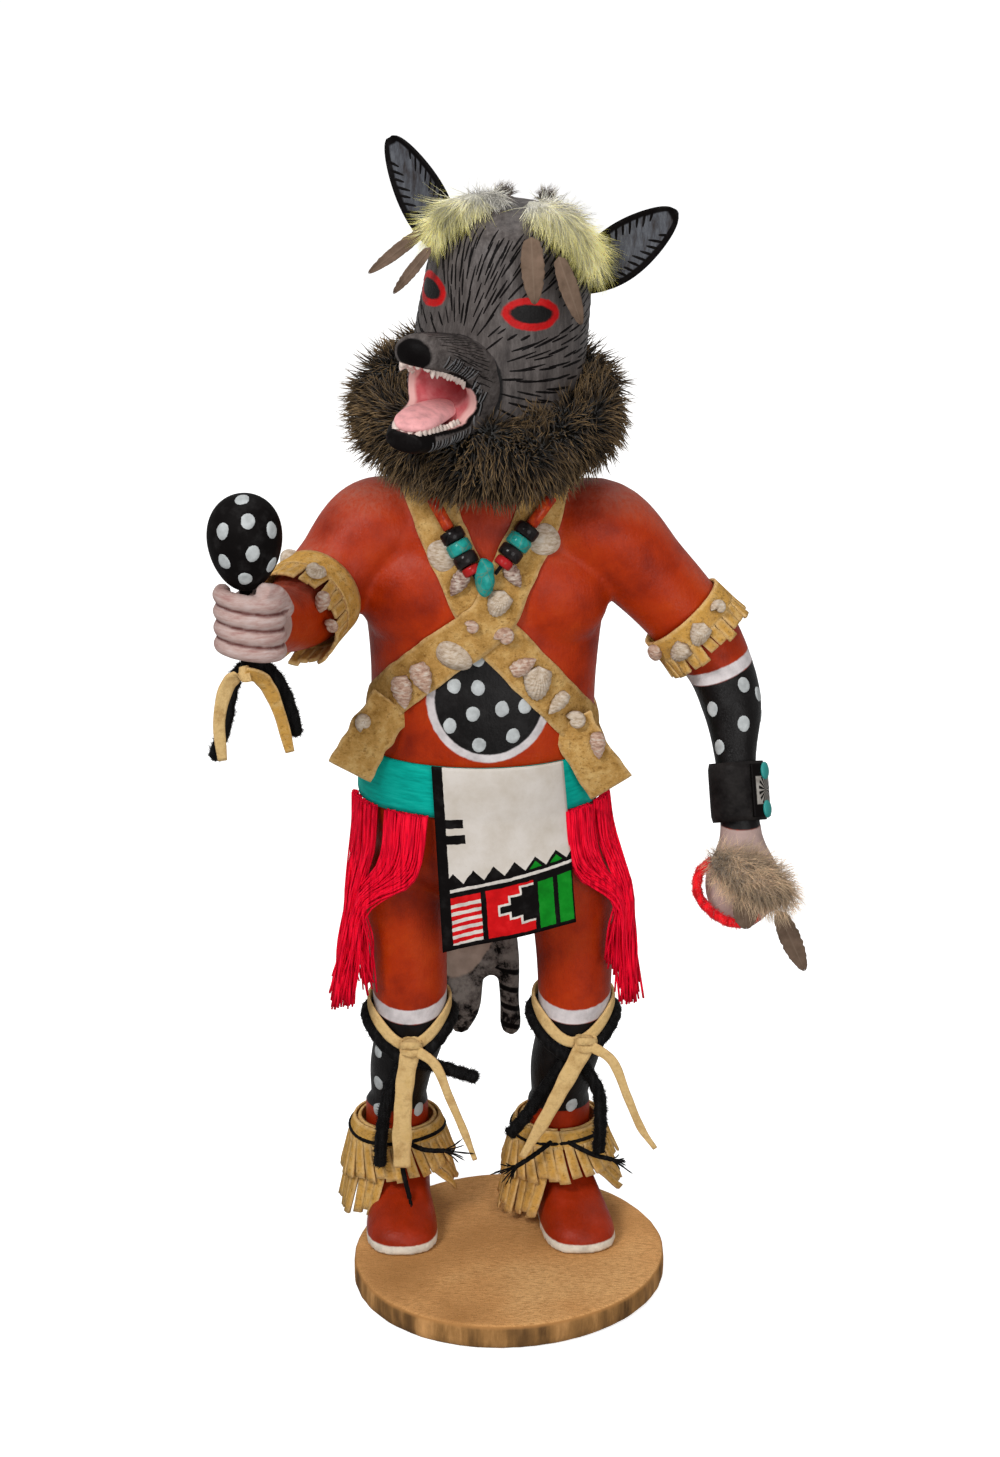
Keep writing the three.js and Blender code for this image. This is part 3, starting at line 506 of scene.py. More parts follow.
def settle(piece):
    """Works the piece's modifiers into a plain mesh."""
    graph = bpy.context.evaluated_depsgraph_get()
    mesh = bpy.data.meshes.new_from_object(piece.evaluated_get(graph))
    piece.modifiers.clear()
    old = piece.data
    piece.data = mesh
    mesh.name = piece.name
    bpy.data.meshes.remove(old)


def run_together(piece, voxel, relax):
    """Makes a piece one even skin and smooths it."""
    fuse = piece.modifiers.new("Fuse", "REMESH")
    fuse.mode = "VOXEL"
    fuse.voxel_size = voxel * MM
    ease = piece.modifiers.new("Ease", "SMOOTH")
    ease.factor = 0.5
    ease.iterations = relax
    settle(piece)


def fused(name, shells, voxel, relax):
    """Overlapping shells run together into one carved skin."""
    piece = new_object(name, shells)
    run_together(piece, voxel, relax)
    return piece


def remove(piece):
    """Takes a helper object away again."""
    mesh = piece.data
    bpy.data.objects.remove(piece)
    bpy.data.meshes.remove(mesh)


def points_of(piece):
    """A piece's vertices in millimetres."""
    flat = np.empty(len(piece.data.vertices) * 3, np.float32)
    piece.data.vertices.foreach_get("co", flat)
    return flat.reshape(-1, 3).astype(float) / MM


def mark(piece, name, values):
    """Stores one number at each vertex, for the piece's material."""
    attribute = piece.data.attributes.new(name, "FLOAT", "POINT")
    attribute.data.foreach_set("value", np.asarray(values, np.float32).ravel())


def skin_of(name):
    """A piece's surface to lay things on, in millimetres."""
    piece = bpy.data.objects[name]
    faces = [list(p.vertices) for p in piece.data.polygons]
    return BVHTree.FromPolygons(points_of(piece).tolist(), faces)


def dress(piece, material, nodes=()):
    """Gives a piece its finish and its place in the frame."""
    piece.data.materials.clear()
    piece.data.materials.append(material)
    piece.data.shade_smooth()
    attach(piece, "root")
    if nodes:
        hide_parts(*nodes)
    return piece


def photo_ray(pixel):
    """Where a pixel of the photograph looks from and along."""
    up = np.array([0, math.sin(CAMERA_DOWN), math.cos(CAMERA_DOWN)])
    along = CAMERA_FORWARD + np.array([1.0, 0, 0]) * (pixel[0] - PHOTO_WIDE / 2) / FOCAL_PIXELS
    along = along + up * (PHOTO_HIGH / 2 - pixel[1]) / FOCAL_PIXELS
    return CAMERA_AT, unit(along)


def seen_at(skin, pixel):
    """The point and normal of a skin that the photograph shows at a pixel, or nearest to it."""
    start, along = photo_ray(pixel)
    point, normal, _, _ = skin.ray_cast(Vector(start), Vector(along))
    if point is None:
        passed = [skin.find_nearest(Vector(start + along * away)) for away in np.linspace(1080, 1340, 131)]
        point, normal, _, _ = min(passed, key=lambda found: found[3])
    return np.array(point), np.array(normal)


def laid(skin, point):
    """The nearest point of a skin, and its normal."""
    near, normal, _, _ = skin.find_nearest(Vector(point))
    return np.array(near), np.array(normal)


def stroke(skin, start, direction, long, wide, lift=0.14, steps=5):
    """A tapered brush stroke that follows a skin."""
    rows, point, heading = [], np.asarray(start, float), np.asarray(direction, float)
    for step in range(steps + 1):
        point, normal = laid(skin, point)
        heading = unit(heading - normal * np.dot(heading, normal))
        side = np.cross(normal, heading)
        half = wide / 2 * (0.25 + math.sin(math.pi * (0.12 + 0.8 * step / steps)) * 0.75)
        sunk = point - normal * STROKE_SINK
        rows.append([sunk - side * half, point + normal * lift, sunk + side * half])
        point = point + heading * long / steps
    grid = np.array(rows)
    index = np.arange(grid.shape[0] * 3).reshape(-1, 3)
    faces = []
    for column in range(2):
        first, second = index[:, column], index[:, column + 1]
        faces += np.stack([first[:-1], first[1:], second[1:], second[:-1]], -1).tolist()
    return grid.reshape(-1, 3), faces


def dab(skin, point, normal, wide, high, seed, lift=0.22):
    """An uneven dab of thick paint on a skin."""
    pick = random.Random(seed)
    side = unit(np.cross(normal, (0.1, 0, 1)))
    up = np.cross(side, normal)
    rim = 14
    rings = []
    for share, height in ((1.0, -DAB_SINK), (0.86, lift), (0.45, lift * 0.8)):
        ring = []
        for k in range(rim):
            turn = 2 * math.pi * k / rim
            rough = 1 + 0.13 * noise.noise((math.cos(turn) * 1.3, math.sin(turn) * 1.3, seed * 3.7))
            reach = side * math.cos(turn) * wide / 2 + up * math.sin(turn) * high / 2
            near, out = laid(skin, point + reach * share * rough)
            ring.append(near + out * (height + pick.uniform(-0.03, 0.03)))
        rings.append(ring)
    points = np.array(rings).reshape(-1, 3)
    faces = []
    for row in range(2):
        for k in range(rim):
            after = (k + 1) % rim
            faces.append([row * rim + k, row * rim + after, (row + 1) * rim + after, (row + 1) * rim + k])
    faces.append(list(range(2 * rim, 3 * rim)))
    return points, faces


def dabs(skin, spots, high, first_seed):
    """Dabs of paint on a skin, at pixels of the photograph or near points."""
    shells = []
    for seed, spot in enumerate(spots, first_seed):
        point, normal = seen_at(skin, spot) if len(spot) == 2 else laid(skin, spot)
        shells.append(dab(skin, point, normal, DAB_WIDE, high, seed))
    return shells


# Materials.


def colour(name):
    """One of the panel's colours, with its alpha."""
    return (*getattr(bpy.context.scene.doll_colours, name), 1.0)


def size(name):
    """One of the panel's lengths in millimetres."""
    return getattr(bpy.context.scene.doll_sizes, name) / MM


class Finish:
    """Builds the nodes of one material."""

    def __init__(self, name):
        self.material = bpy.data.materials.new(name)
        self.material.use_nodes = True
        self.tree = self.material.node_tree
        self.shader = self.tree.nodes["Principled BSDF"]
        self.object_place = None

    def put(self, socket, value):
        if isinstance(value, bpy.types.NodeSocket):
            self.tree.links.new(value, socket)
        elif isinstance(value, str):
            socket.default_value = colour(value)
        else:
            socket.default_value = value

    def add(self, kind, inputs=None, **settings):
        node = self.tree.nodes.new("ShaderNode" + kind)
        for key, value in settings.items():
            setattr(node, key, value)
        for key, value in (inputs or {}).items():
            self.put(node.inputs[key], value)
        return node.outputs

    def place(self):
        if self.object_place is None:
            self.object_place = self.add("TexCoord")["Object"]
        return self.object_place

    def stretched(self, scale, turn=(0, 0, 0)):
        return self.add("Mapping", {"Vector": self.place(), "Scale": scale, "Rotation": turn})["Vector"]

    def noise(self, scale, detail=4.0, rough=0.55, vector=None):
        inputs = {"Vector": vector or self.place(), "Scale": scale, "Detail": detail, "Roughness": rough}
        return self.add("TexNoise", inputs)["Fac"]

    def cells(self, scale, feature="F1"):
        return self.add("TexVoronoi", {"Vector": self.place(), "Scale": scale}, feature=feature)

    def attribute(self, name):
        return self.add("Attribute", attribute_name=name)["Fac"]

    def math(self, operation, first, second=0.0):
        return self.add("Math", {0: first, 1: second}, operation=operation)[0]

    def range(self, value, low, high, out_low=0.0, out_high=1.0):
        inputs = {"Value": value, "From Min": low, "From Max": high, "To Min": out_low, "To Max": out_high}
        return self.add("MapRange", inputs)["Result"]

    def ramp(self, value, *stops):
        node = self.tree.nodes.new("ShaderNodeValToRGB")
        self.put(node.inputs[0], value)
        marks = node.color_ramp.elements
        while len(marks) < len(stops):
            marks.new(0.5)
        for entry, (at, tint) in zip(marks, stops):
            entry.position = at
            entry.color = colour(tint) if isinstance(tint, str) else tint
        return node.outputs["Color"]

    def mix(self, factor, first, second, blend="MIX"):
        node = self.tree.nodes.new("ShaderNodeMix")
        node.data_type = "RGBA"
        node.blend_type = blend
        self.put(node.inputs[0], factor)
        self.put(node.inputs[6], first)
        self.put(node.inputs[7], second)
        return node.outputs[2]

    def inside(self, name, wobble, soft=0.25):
        """One inside a painted outline, whose distances in millimetres are stored on the piece."""
        shaken = self.math("MULTIPLY", self.noise(420.0, 3.0), 2 * wobble)
        distance = self.math("ADD", self.attribute(name), shaken)
        shifted = self.math("SUBTRACT", distance, wobble)
        return self.range(shifted, soft, -soft)

    def bump(self, height, distance, strength=1.0, below=None):
        inputs = {"Height": height, "Distance": distance * MM, "Strength": strength}
        if below is not None:
            inputs["Normal"] = below
        return self.add("Bump", inputs)["Normal"]

    def finish(self, tint, rough, normal=None, gloss=0.05, **others):
        self.put(self.shader.inputs["Base Color"], tint)
        self.put(self.shader.inputs["Roughness"], rough)
        self.put(self.shader.inputs["Specular IOR Level"], gloss)
        if normal is not None:
            self.put(self.shader.inputs["Normal"], normal)
        for key, value in others.items():
            self.put(self.shader.inputs[key.replace("_", " ")], value)
        return self.material


def coated(f, tint, scale=90.0):
    """A colour laid on by brush, uneven in its depth."""
    tint = colour(tint)
    depth = f.noise(scale, 5.0, 0.6)
    deep = tuple(c * 0.72 for c in tint[:3]) + (1.0,)
    pale = tuple(min(1.0, c * 1.25 + 0.01) for c in tint[:3]) + (1.0,)
    return f.ramp(depth, (0.3, deep), (0.52, tint), (0.78, pale))


def body_finish():
    """The figure's paint: burnt red with painted areas, dust and painted sheen on top, under a worn
    semi-gloss.
    """
    f = Finish("body_paint")
    cloud = f.noise(55.0, 5.0, 0.6)
    brush = f.noise(1.0, 4.0, 0.65, f.stretched((760.0, 760.0, 170.0)))
    grain = f.noise(1250.0, 4.0, 0.65)
    body = f.ramp(cloud, (0.3, "body_dark"), (0.5, "body"), (0.75, "body_light"))
    body = f.mix(f.range(brush, 0.55, 0.85, 0.0, 0.4), body, "body_dark")
    # Upward faces get dust mixed with a painted sheen, flecked by the brush marks.
    upward = f.add("SeparateXYZ", {"Vector": f.add("TexCoord")["Normal"]})["Z"]
    flecked = f.math("MULTIPLY", f.range(cloud, 0.3, 0.7, 0.3, 1.0), f.range(brush, 0.38, 0.6, 0.35, 1.0))
    dust_and_sheen = f.math("MULTIPLY", f.range(upward, 0.42, 0.9, 0.0, 0.55), flecked)
    body = f.mix(dust_and_sheen, body, "body_dust_and_sheen")
    layers = [
        ("paint_pale", coated(f, "hand"), 0.5),
        ("paint_white", coated(f, "chalk", 160.0), 0.35),
        ("paint_black", coated(f, "black_paint", 120.0), 0.3),
        ("paint_boot", coated(f, "boot"), 0.2),
        ("paint_sole", coated(f, "sole", 200.0), 0.3),
    ]
    for name, tint, wobble in layers:
        body = f.mix(f.inside(name, wobble), body, tint)
    streak = f.noise(1.0, 4.0, 0.7, f.stretched((420.0, 420.0, 90.0)))
    head = f.ramp(streak, (0.28, "head_dark"), (0.5, "head"), (0.75, "head_light"))
    body = f.mix(f.inside("paint_head", 0.5), body, head)
    body = f.mix(f.inside("paint_eye", 0.35), body, coated(f, "eye_red", 140.0))
    body = f.mix(f.inside("paint_pupil", 0.35), body, "black_paint")
    relief = f.bump(brush, 0.35, 0.5, f.bump(grain, 0.28, 0.6, f.bump(cloud, 1.2, 0.25)))
    rough = f.range(f.noise(240.0, 4.0), 0.3, 0.7, 0.3, 0.48)
    return f.finish(body, rough, relief, 0.17)


def hand_finish():
    """Pinkish paint brushed along the fingers, with painted shade in the creases between them."""
    f = Finish("hand_paint")
    streak = f.noise(1.0, 4.0, 0.7, f.stretched((150.0, 150.0, 700.0)))
    tint = f.ramp(streak, (0.3, "hand_shade"), (0.5, "hand"), (0.72, "hand_light"))
    # Painted shade in the creases between the fingers.
    tint = f.mix(f.inside("paint_crease", 0.3, 0.4), tint, "hand_crease_shade")
    return f.finish(tint, 0.6, f.bump(streak, 0.25, 0.5))


def flat_paint(name, tint, rough=0.55):
    """A coat of one colour with brush marks and a little grain."""
    f = Finish(name)
    brush = f.noise(700.0, 4.0, 0.6)
    return f.finish(coated(f, tint, 260.0), rough, f.bump(brush, 0.18, 0.5))


def log_finish():
    """A sawn slice of wood: fine tan saw marks on top, streaked bark-brown round the edge."""
    f = Finish("log_slice")
    place = f.add("SeparateXYZ", {"Vector": f.place()})
    upward = f.add("SeparateXYZ", {"Vector": f.add("TexCoord")["Normal"]})["Z"]
    shifted = f.add("Mapping", {"Vector": f.place(), "Location": (0.012, 0.02, 0.0)})["Vector"]
    sway = f.noise(18.0, 3.0)
    growth = {"Vector": shifted, "Scale": 95.0, "Distortion": 9.0, "Detail": 3.0, "Detail Scale": 1.2}
    rings = f.add("TexWave", growth, wave_type="RINGS", rings_direction="Z")["Fac"]
    saw = f.noise(1.0, 3.0, 0.7, f.stretched((360.0, 1500.0, 360.0), (0, 0, 0.95)))
    speck = f.noise(2600.0, 2.0, 0.8)
    top = f.ramp(sway, (0.3, "log_dark"), (0.52, "log"), (0.7, "log_light"))
    top = f.mix(f.range(rings, 0.4, 0.9, 0.0, 0.09), top, "log_dark")
    top = f.mix(f.range(saw, 0.46, 0.66, 0.0, 0.75), top, "log_dark")
    top = f.mix(f.range(speck, 0.53, 0.7, 0.0, 0.55), top, "bark")
    upright = f.noise(1.0, 6.0, 0.62, f.stretched((110.0, 110.0, 22.0)))
    edge = f.ramp(upright, (0.3, "bark"), (0.5, "bark_light"), (0.72, "log"))
    blotch = f.noise(1.0, 3.0, 0.6, f.stretched((70.0, 70.0, 20.0)))
    edge = f.mix(f.range(blotch, 0.52, 0.66, 0.0, 0.8), edge, "bark")
    rim = f.range(place["Z"], 0.0072, 0.0084)
    edge = f.mix(rim, edge, "log_dark")
    tint = f.mix(f.range(upward, 0.55, 0.8), edge, top)
    relief = f.bump(saw, 0.5, 0.7, f.bump(upright, 0.5, 0.5, f.bump(speck, 0.1, 0.5)))
    return f.finish(tint, 0.72, relief)


def face_finish():
    """The muzzle: grey paint, black lips, nose and chin, a pink mouth and painted shade deep in the mouth."""
    f = Finish("muzzle_paint")
    streak = f.noise(1.0, 4.0, 0.7, f.stretched((500.0, 140.0, 500.0)))
    tint = f.ramp(streak, (0.3, "head_dark"), (0.5, "head"), (0.75, "head_light"))
    tint = f.mix(f.inside("paint_lip", 0.3), tint, "black_paint")
    tint = f.mix(f.inside("paint_chin", 0.4), tint, coated(f, "black_paint", 120.0))
    pink = f.mix(f.range(f.noise(160.0, 4.0), 0.4, 0.7), "mouth", "gum")
    rim = f.range(f.attribute("paint_mouth"), -3.0, -1.8)
    pink = f.mix(rim, pink, "gum_rim")
    tint = f.mix(f.inside("paint_mouth", 0.3), tint, pink)
    # Painted shade deep inside the mouth, behind a set depth.
    tint = f.mix(f.inside("paint_throat", 0.6, 2.5), tint, "throat")
    grain = f.noise(1300.0, 3.0)
    return f.finish(tint, 0.5, f.bump(streak, 0.25, 0.5, f.bump(grain, 0.1, 0.5)))


def ear_finish():
    """An ear: a black border round a brushed blue-grey hollow."""
    f = Finish("ear_paint")
    streak = f.noise(1.0, 4.0, 0.7, f.stretched((480.0, 480.0, 130.0)))
    hollow = f.ramp(streak, (0.3, "head_dark"), (0.5, "ear"), (0.76, "ear_light"))
    tint = f.mix(f.inside("paint_rim", 0.35), hollow, coated(f, "black_paint", 150.0))
    return f.finish(tint, 0.55, f.bump(streak, 0.3, 0.5))


# Brush dabs, placed by the photograph's pixels.
BELLY_DABS = [
    (478, 659), (478, 688), (454, 686), (473, 714), (502, 709),
    (525, 706), (450, 726), (513, 736), (479, 745),
]
FOREARM_DABS = [(744, 685), (712, 709), (744, 724), (719, 747)]
LEG_DABS = [(378, 1051), (378, 1083), (378, 1110), (419, 1109), (556, 1044), (579, 1068), (572, 1105)]
RATTLE_DABS = [
    (242, 499), (248, 521), (222, 531), (272, 530), (253, 554), (224, 562), (272, 565), (245, 579),
]
# Dabs out of the photograph's sight, near these points.
HIDDEN_DABS = [
    (90, 20, 205), (84, 24, 196), (86, 18, 214), (-42, 40, 82), (-36, 40, 70),
    (-44, 40, 62), (20, 40, 84), (26, 40, 72), (18, 40, 62),
]


def figure_shells():
    """The carved figure's parts before they run together."""
    shells = [tube(TORSO, None, 56, 110)]
    shells += [ball(at, radii) for at, radii in BREASTS]
    shells += [tube(leg, (0, -1, 0), 40, 70) for leg in (LEG_RIGHT, LEG_LEFT)]
    shells += [tube(ARM_RIGHT, (0, 0, 1), 40, 80), tube(ARM_LEFT, (0, -1, 0), 40, 90)]
    for x, y in BOOTS:
        shells.append(tube([(x, y + 2, SOLE, 12), (x, y + 1, 29, 11.6), (x, y, 55, 11.3)], None, 40, 24))
    shells += [foot(heel, toe) for heel, toe in FEET]
    shells.append(on_head(tube(SKULL, None, 56, 80)))
    return shells


def foot(heel, toe):
    """One flat-soled boot foot."""
    stations = smooth_run([(t, 0, 0, half, high) for t, half, high in FOOT], 36)
    heel, toe = np.array(heel, float), np.array(toe, float)
    forward = unit(toe - heel)
    side = np.array([-forward[1], forward[0]])
    arc = np.linspace(0, np.pi, 21)
    rings = []
    for share, _, _, half, high in stations:
        middle = heel + (toe - heel) * np.clip(share, 0, 1)
        reach = np.sign(np.cos(arc)) * np.abs(np.cos(arc)) ** 0.8 * max(half, 0.5)
        rise = SOLE + np.abs(np.sin(arc)) ** 0.75 * max(high, 1.0)
        flat = np.linspace(-1, 1, 12)[1:-1] * max(half, 0.5)
        across = np.concatenate([reach, flat])
        height = np.concatenate([rise, np.full(10, SOLE)])
        rings.append(np.column_stack([middle + np.outer(across, side), height]))
    return stack(rings)


def fist_shells():
    """The right hand's palm, four fingers and thumb round the rattle."""
    reach, thick = 8.9, 2.85
    shells = [ball(FIST, (8.8, 7.6, 10.6))]
    for finger in range(4):
        rise = (finger - 1.5) * FINGER_PITCH
        line = [(-reach, 0), (-reach, -5), (-reach * 0.5, -9), (reach * 0.5, -9), (reach, -5), (reach, 0)]
        stations = [(FIST[0] + x, FIST[1] + y, FIST[2] + rise - FINGER_TILT * x, thick) for x, y in line]
        shells.append(tube(stations, (0, 0, 1), 20, 34))
    thumb = [(11, 3, 2, 3.6), (8.5, -4, 9.4, 3.6), (4.5, -9, 12.6, 2.9)]
    shells.append(tube([tuple(FIST + np.array(p[:3])) + (p[3],) for p in thumb], (0, 0, 1), 18, 20))
    return shells


def ellipse_gap(across, up, radii):
    """Distance from an ellipse's edge, less than nought inside."""
    return (np.hypot(across / radii[0], up / radii[1]) - 1) * min(radii)


def paint_figure(piece):
    """Stores the painted areas' outlines on the figure."""
    at = points_of(piece)
    x, y, z = at.T
    own = to_head(at)
    turn = np.arctan2(own[:, 0], -own[:, 1])
    far = 12.0
    headed = (np.hypot(own[:, 0], own[:, 1]) < 36) & (own[:, 2] > -6)
    mark(piece, "paint_head", np.where(headed, 13 - own[:, 2], far))
    for name, radii in (("paint_eye", EYE_RING), ("paint_pupil", EYE_PUPIL)):
        gaps = [ellipse_gap((turn - at_turn) * 29, own[:, 2] - rise, radii) for at_turn, rise in EYES]
        if name == "paint_pupil":
            gaps.append(np.where(own[:, 1] < 0, ellipse_gap(own[:, 0], own[:, 2] - SEAM_AT, SEAM), far))
        mark(piece, name, np.where(headed, np.minimum.reduce(gaps), far))
    out = np.hypot(x - BELLY_AT[0], z - BELLY_AT[1])
    front = (y < 16) & (np.abs(x) < 45)
    ring = np.where(front, out - BELLY_RING, far)
    belly = np.where(front, out - BELLY_BLACK, far)
    forearm = x > 55
    slant = z - 0.4 * (x - 78)
    cuff = np.where(forearm, np.maximum(slant - CUFF[1], CUFF[0] - slant), far)
    sleeve = np.where(forearm, np.maximum(slant - CUFF[0], HAND_TOP - z), far)
    level = z - 0.3 * (y - 13)
    knee = np.maximum(level - KNEE[1], KNEE[0] - level)
    shin = np.maximum(level - KNEE[0], BOOT_TOP - z)
    mark(piece, "paint_white", np.minimum.reduce([ring, cuff, knee]))
    mark(piece, "paint_black", np.minimum.reduce([belly, sleeve, shin]))
    left, right = np.where(forearm, z - HAND_TOP, far), np.where(x < -64, y + 33, far)
    mark(piece, "paint_pale", np.minimum(left, right))
    mark(piece, "paint_boot", z - BOOT_TOP)
    mark(piece, "paint_sole", z - SOLE_TOP)


def hair_strokes(skin):
    """Black carved hairs that spread over the head from the top of the muzzle."""
    pick = random.Random(11)
    pole, girth = 42.0, 29.0
    shells = []
    for ring in range(2, 19):
        radius = 2 + ring * 5.0
        angle = pick.uniform(0, 0.1)
        while angle < 2 * math.pi:
            lean = math.cos(angle)
            gap = 2.5 + 1.3 * (1 - max(0.0, lean)) + radius * 0.014
            wide = 0.85 + 0.2 * (1 - max(0.0, lean))
            reach = radius + pick.uniform(-1.6, 1.6)
            across, rise = math.sin(angle) * reach, pole + lean * reach
            angle += gap / radius * pick.uniform(0.8, 1.2)
            turn = across / girth
            hidden = rise < 14 or rise > 88 or abs(turn) > math.pi
            muzzle = ellipse_gap(across, rise - SEAM_AT, SEAM) < -0.5
            if hidden or muzzle:
                continue
            start = from_head([math.sin(turn) * 40, -math.cos(turn) * 40, rise])
            spread = math.atan2(across * 1.3, rise - SEAM_AT - 4) + pick.uniform(-0.08, 0.08)
            tangent = np.array([math.cos(turn), math.sin(turn), 0]) * math.sin(spread)
            heading = (tangent + np.array([0, 0, math.cos(spread)])) @ head_axes()
            reached = np.linspace(0, pick.uniform(6.4, 10.5), 12)
            turns, rises = turn + reached * math.sin(spread) / girth, rise + reached * math.cos(spread)
            gaps = [ellipse_gap((turns - at_turn) * girth, rises - up, EYE_RING) for at_turn, up in EYES]
            clear = np.minimum.accumulate(np.minimum.reduce([*gaps, rises - 11])) > 0.7
            if clear.sum() > 4:
                thick = wide * pick.uniform(0.8, 1.25)
                shells.append(stroke(skin, start, heading, reached[clear][-1], thick))
    return shells


def lip_line(count=90):
    """The edge of the open mouth in the head's own y and z."""
    return smooth_run([(y, z, 0) for y, z in GAPE], count)[:, :2]


def lips():
    """The upper and the lower edge of the mouth, each from the corner forward."""
    edge = lip_line(240)
    return edge[:120][::-1], edge[120:]


def lip_height(lip, y):
    """The height of a lip's edge at some place forward."""
    return np.interp(-y, -lip[:, 0], lip[:, 1])


def muzzle_strokes(skin):
    """Fine black hairs along the jaws, short ones on the upper lip and upright ones under the lower."""
    pick = random.Random(5)
    shells = []
    for degrees in range(-112, 113, 7):
        turn = math.radians(degrees)
        out = np.array([math.sin(turn), 0, math.cos(turn)])
        for y in np.arange(-32.0, -54.0, -4.6):
            middle = np.array([0, y + pick.uniform(-1.5, 1.5), 42.0])
            start = from_head(middle + out * 16)
            heading = np.array([0, -1.0, pick.uniform(0.3, 0.5)]) @ head_axes()
            shells.append(stroke(skin, start, heading, pick.uniform(5.0, 7.5), 0.42, 0.1))
    return shells + lip_strokes(skin, 0.0, 0.8)


def lip_strokes(skin, shift, wide):
    """Upright hairs along the lips, each moved forward by a shift: short above, longer below."""
    pick = random.Random(12)
    upper, lower = lips()
    shells = []
    for place in np.arange(-36.0, -60.0, -1.7) - shift:
        for side in (-1, 1):
            y = place + pick.uniform(-0.35, 0.35)
            above, below = lip_height(upper, y) - 1.2, lip_height(lower, y) - 1.0
            start = from_head([side * 14, y, above])
            heading = np.array([0, pick.uniform(0.4, 0.8), 0.8]) @ head_axes()
            shells.append(stroke(skin, start, heading, pick.uniform(3.4, 4.8), wide, 0.2))
            start = from_head([side * 16, y, below])
            heading = np.array([0, pick.uniform(-0.1, 0.25), -1.0]) @ head_axes()
            shells.append(stroke(skin, start, heading, pick.uniform(3.8, 5.6), wide, 0.2))
    return shells


def mouth_cutter():
    """The opened mouth and the nostrils, as solids to take out of the muzzle."""
    edge = lip_line()
    rings = [np.column_stack([np.full(len(edge), x), edge]) for x in (-30.0, 30.0)]
    shells = [on_head(stack(rings))]
    shells += [on_head(ball(at, radii)) for at, radii in MOUTH_HOLLOWS]
    shells += [on_head(ball((1.3 + side * 3.6, -66.4, 48.6), (1.5, 1.8, 1.2), 14, 8)) for side in (-1, 1)]
    return shells


def tooth(at, down, long, wide):
    """One uneven carved tooth, rooted above its gum line."""
    profile = [(-1.4, wide * 0.5), (0, wide * 0.52)]
    profile += [(long * 0.5, wide * 0.42), (long * 0.85, wide * 0.22), (long, 0.08)]
    return on_head(lathe(profile, at, down, 8))


def teeth_shells():
    """The small uneven teeth along both jaws."""
    pick = random.Random(3)
    shells = []
    upper, lower = lips()
    for side in (-1, 1):
        for y in np.arange(-43.0, -63.6, -1.9):
            half = np.interp(-y, [38, 50, 58, 63], [11.6, 9.6, 7.8, 5.6])
            middle = np.interp(-y, [40, 50, 64], [0, 0.6, 1.3])
            fang = 2.9 if -60.5 < y < -58 else 1.9
            long = fang * pick.uniform(0.7, 1.3)
            lean = (side * 0.1, pick.uniform(-0.2, 0.2), -1)
            root = (middle + side * (half - 1.3), y, lip_height(upper, y) + 0.3)
            shells.append(tooth(root, lean, long, pick.uniform(1.7, 2.3)))
            lean = (side * -0.1, pick.uniform(-0.2, 0.2), 1)
            root = (middle + side * (half - 1.5), y, lip_height(lower, y) + 0.1)
            long = pick.uniform(1.0, 2.4)
            shells.append(tooth(root, lean, long, pick.uniform(1.8, 2.3)))
    for x in (-3.9, -1.3, 1.3, 3.9):
        y = -63.0 + abs(x) * 0.2
        shells.append(tooth((x + 1.3, y, 45.8), (0, -0.1, -1), pick.uniform(1.2, 1.8), 2.2))
        shells.append(tooth((x + 1.5, y, 23.2), (0, -0.1, 1), pick.uniform(1.0, 1.4), 2.4))
    return shells


def ear_half(along):
    """Half an ear's width at a share of its length."""
    return EAR_HALF * np.sin(np.pi * (0.17 + 0.83 * along)) ** (0.8 - 0.32 * along)


def ear_points(side, across, along, front):
    """Points of an ear's front or back skin: across from -1 to 1, along from 0 to 1."""
    base, splay = EARS[side]
    half = ear_half(along) + 0.05
    rim = np.clip((np.abs(across) - 0.72) / 0.28, 0, 1)
    depth = EAR_CUP * (1 - across**2) * np.sin(np.pi * (0.2 + 0.7 * along))
    thick = EAR_THICK / 2 * (1 - 0.5 * np.abs(across) ** 8) * (1 - 0.3 * along)
    y = depth + (-thick - 0.5 * rim * (1 - rim**6) if front else thick)
    points = np.stack([across * half, y, along * EAR_LONG], -1)
    flat = turned(points.reshape(-1, 3), (0, 1, 0), splay)
    return from_head(flat + np.array(base)).reshape(points.shape)


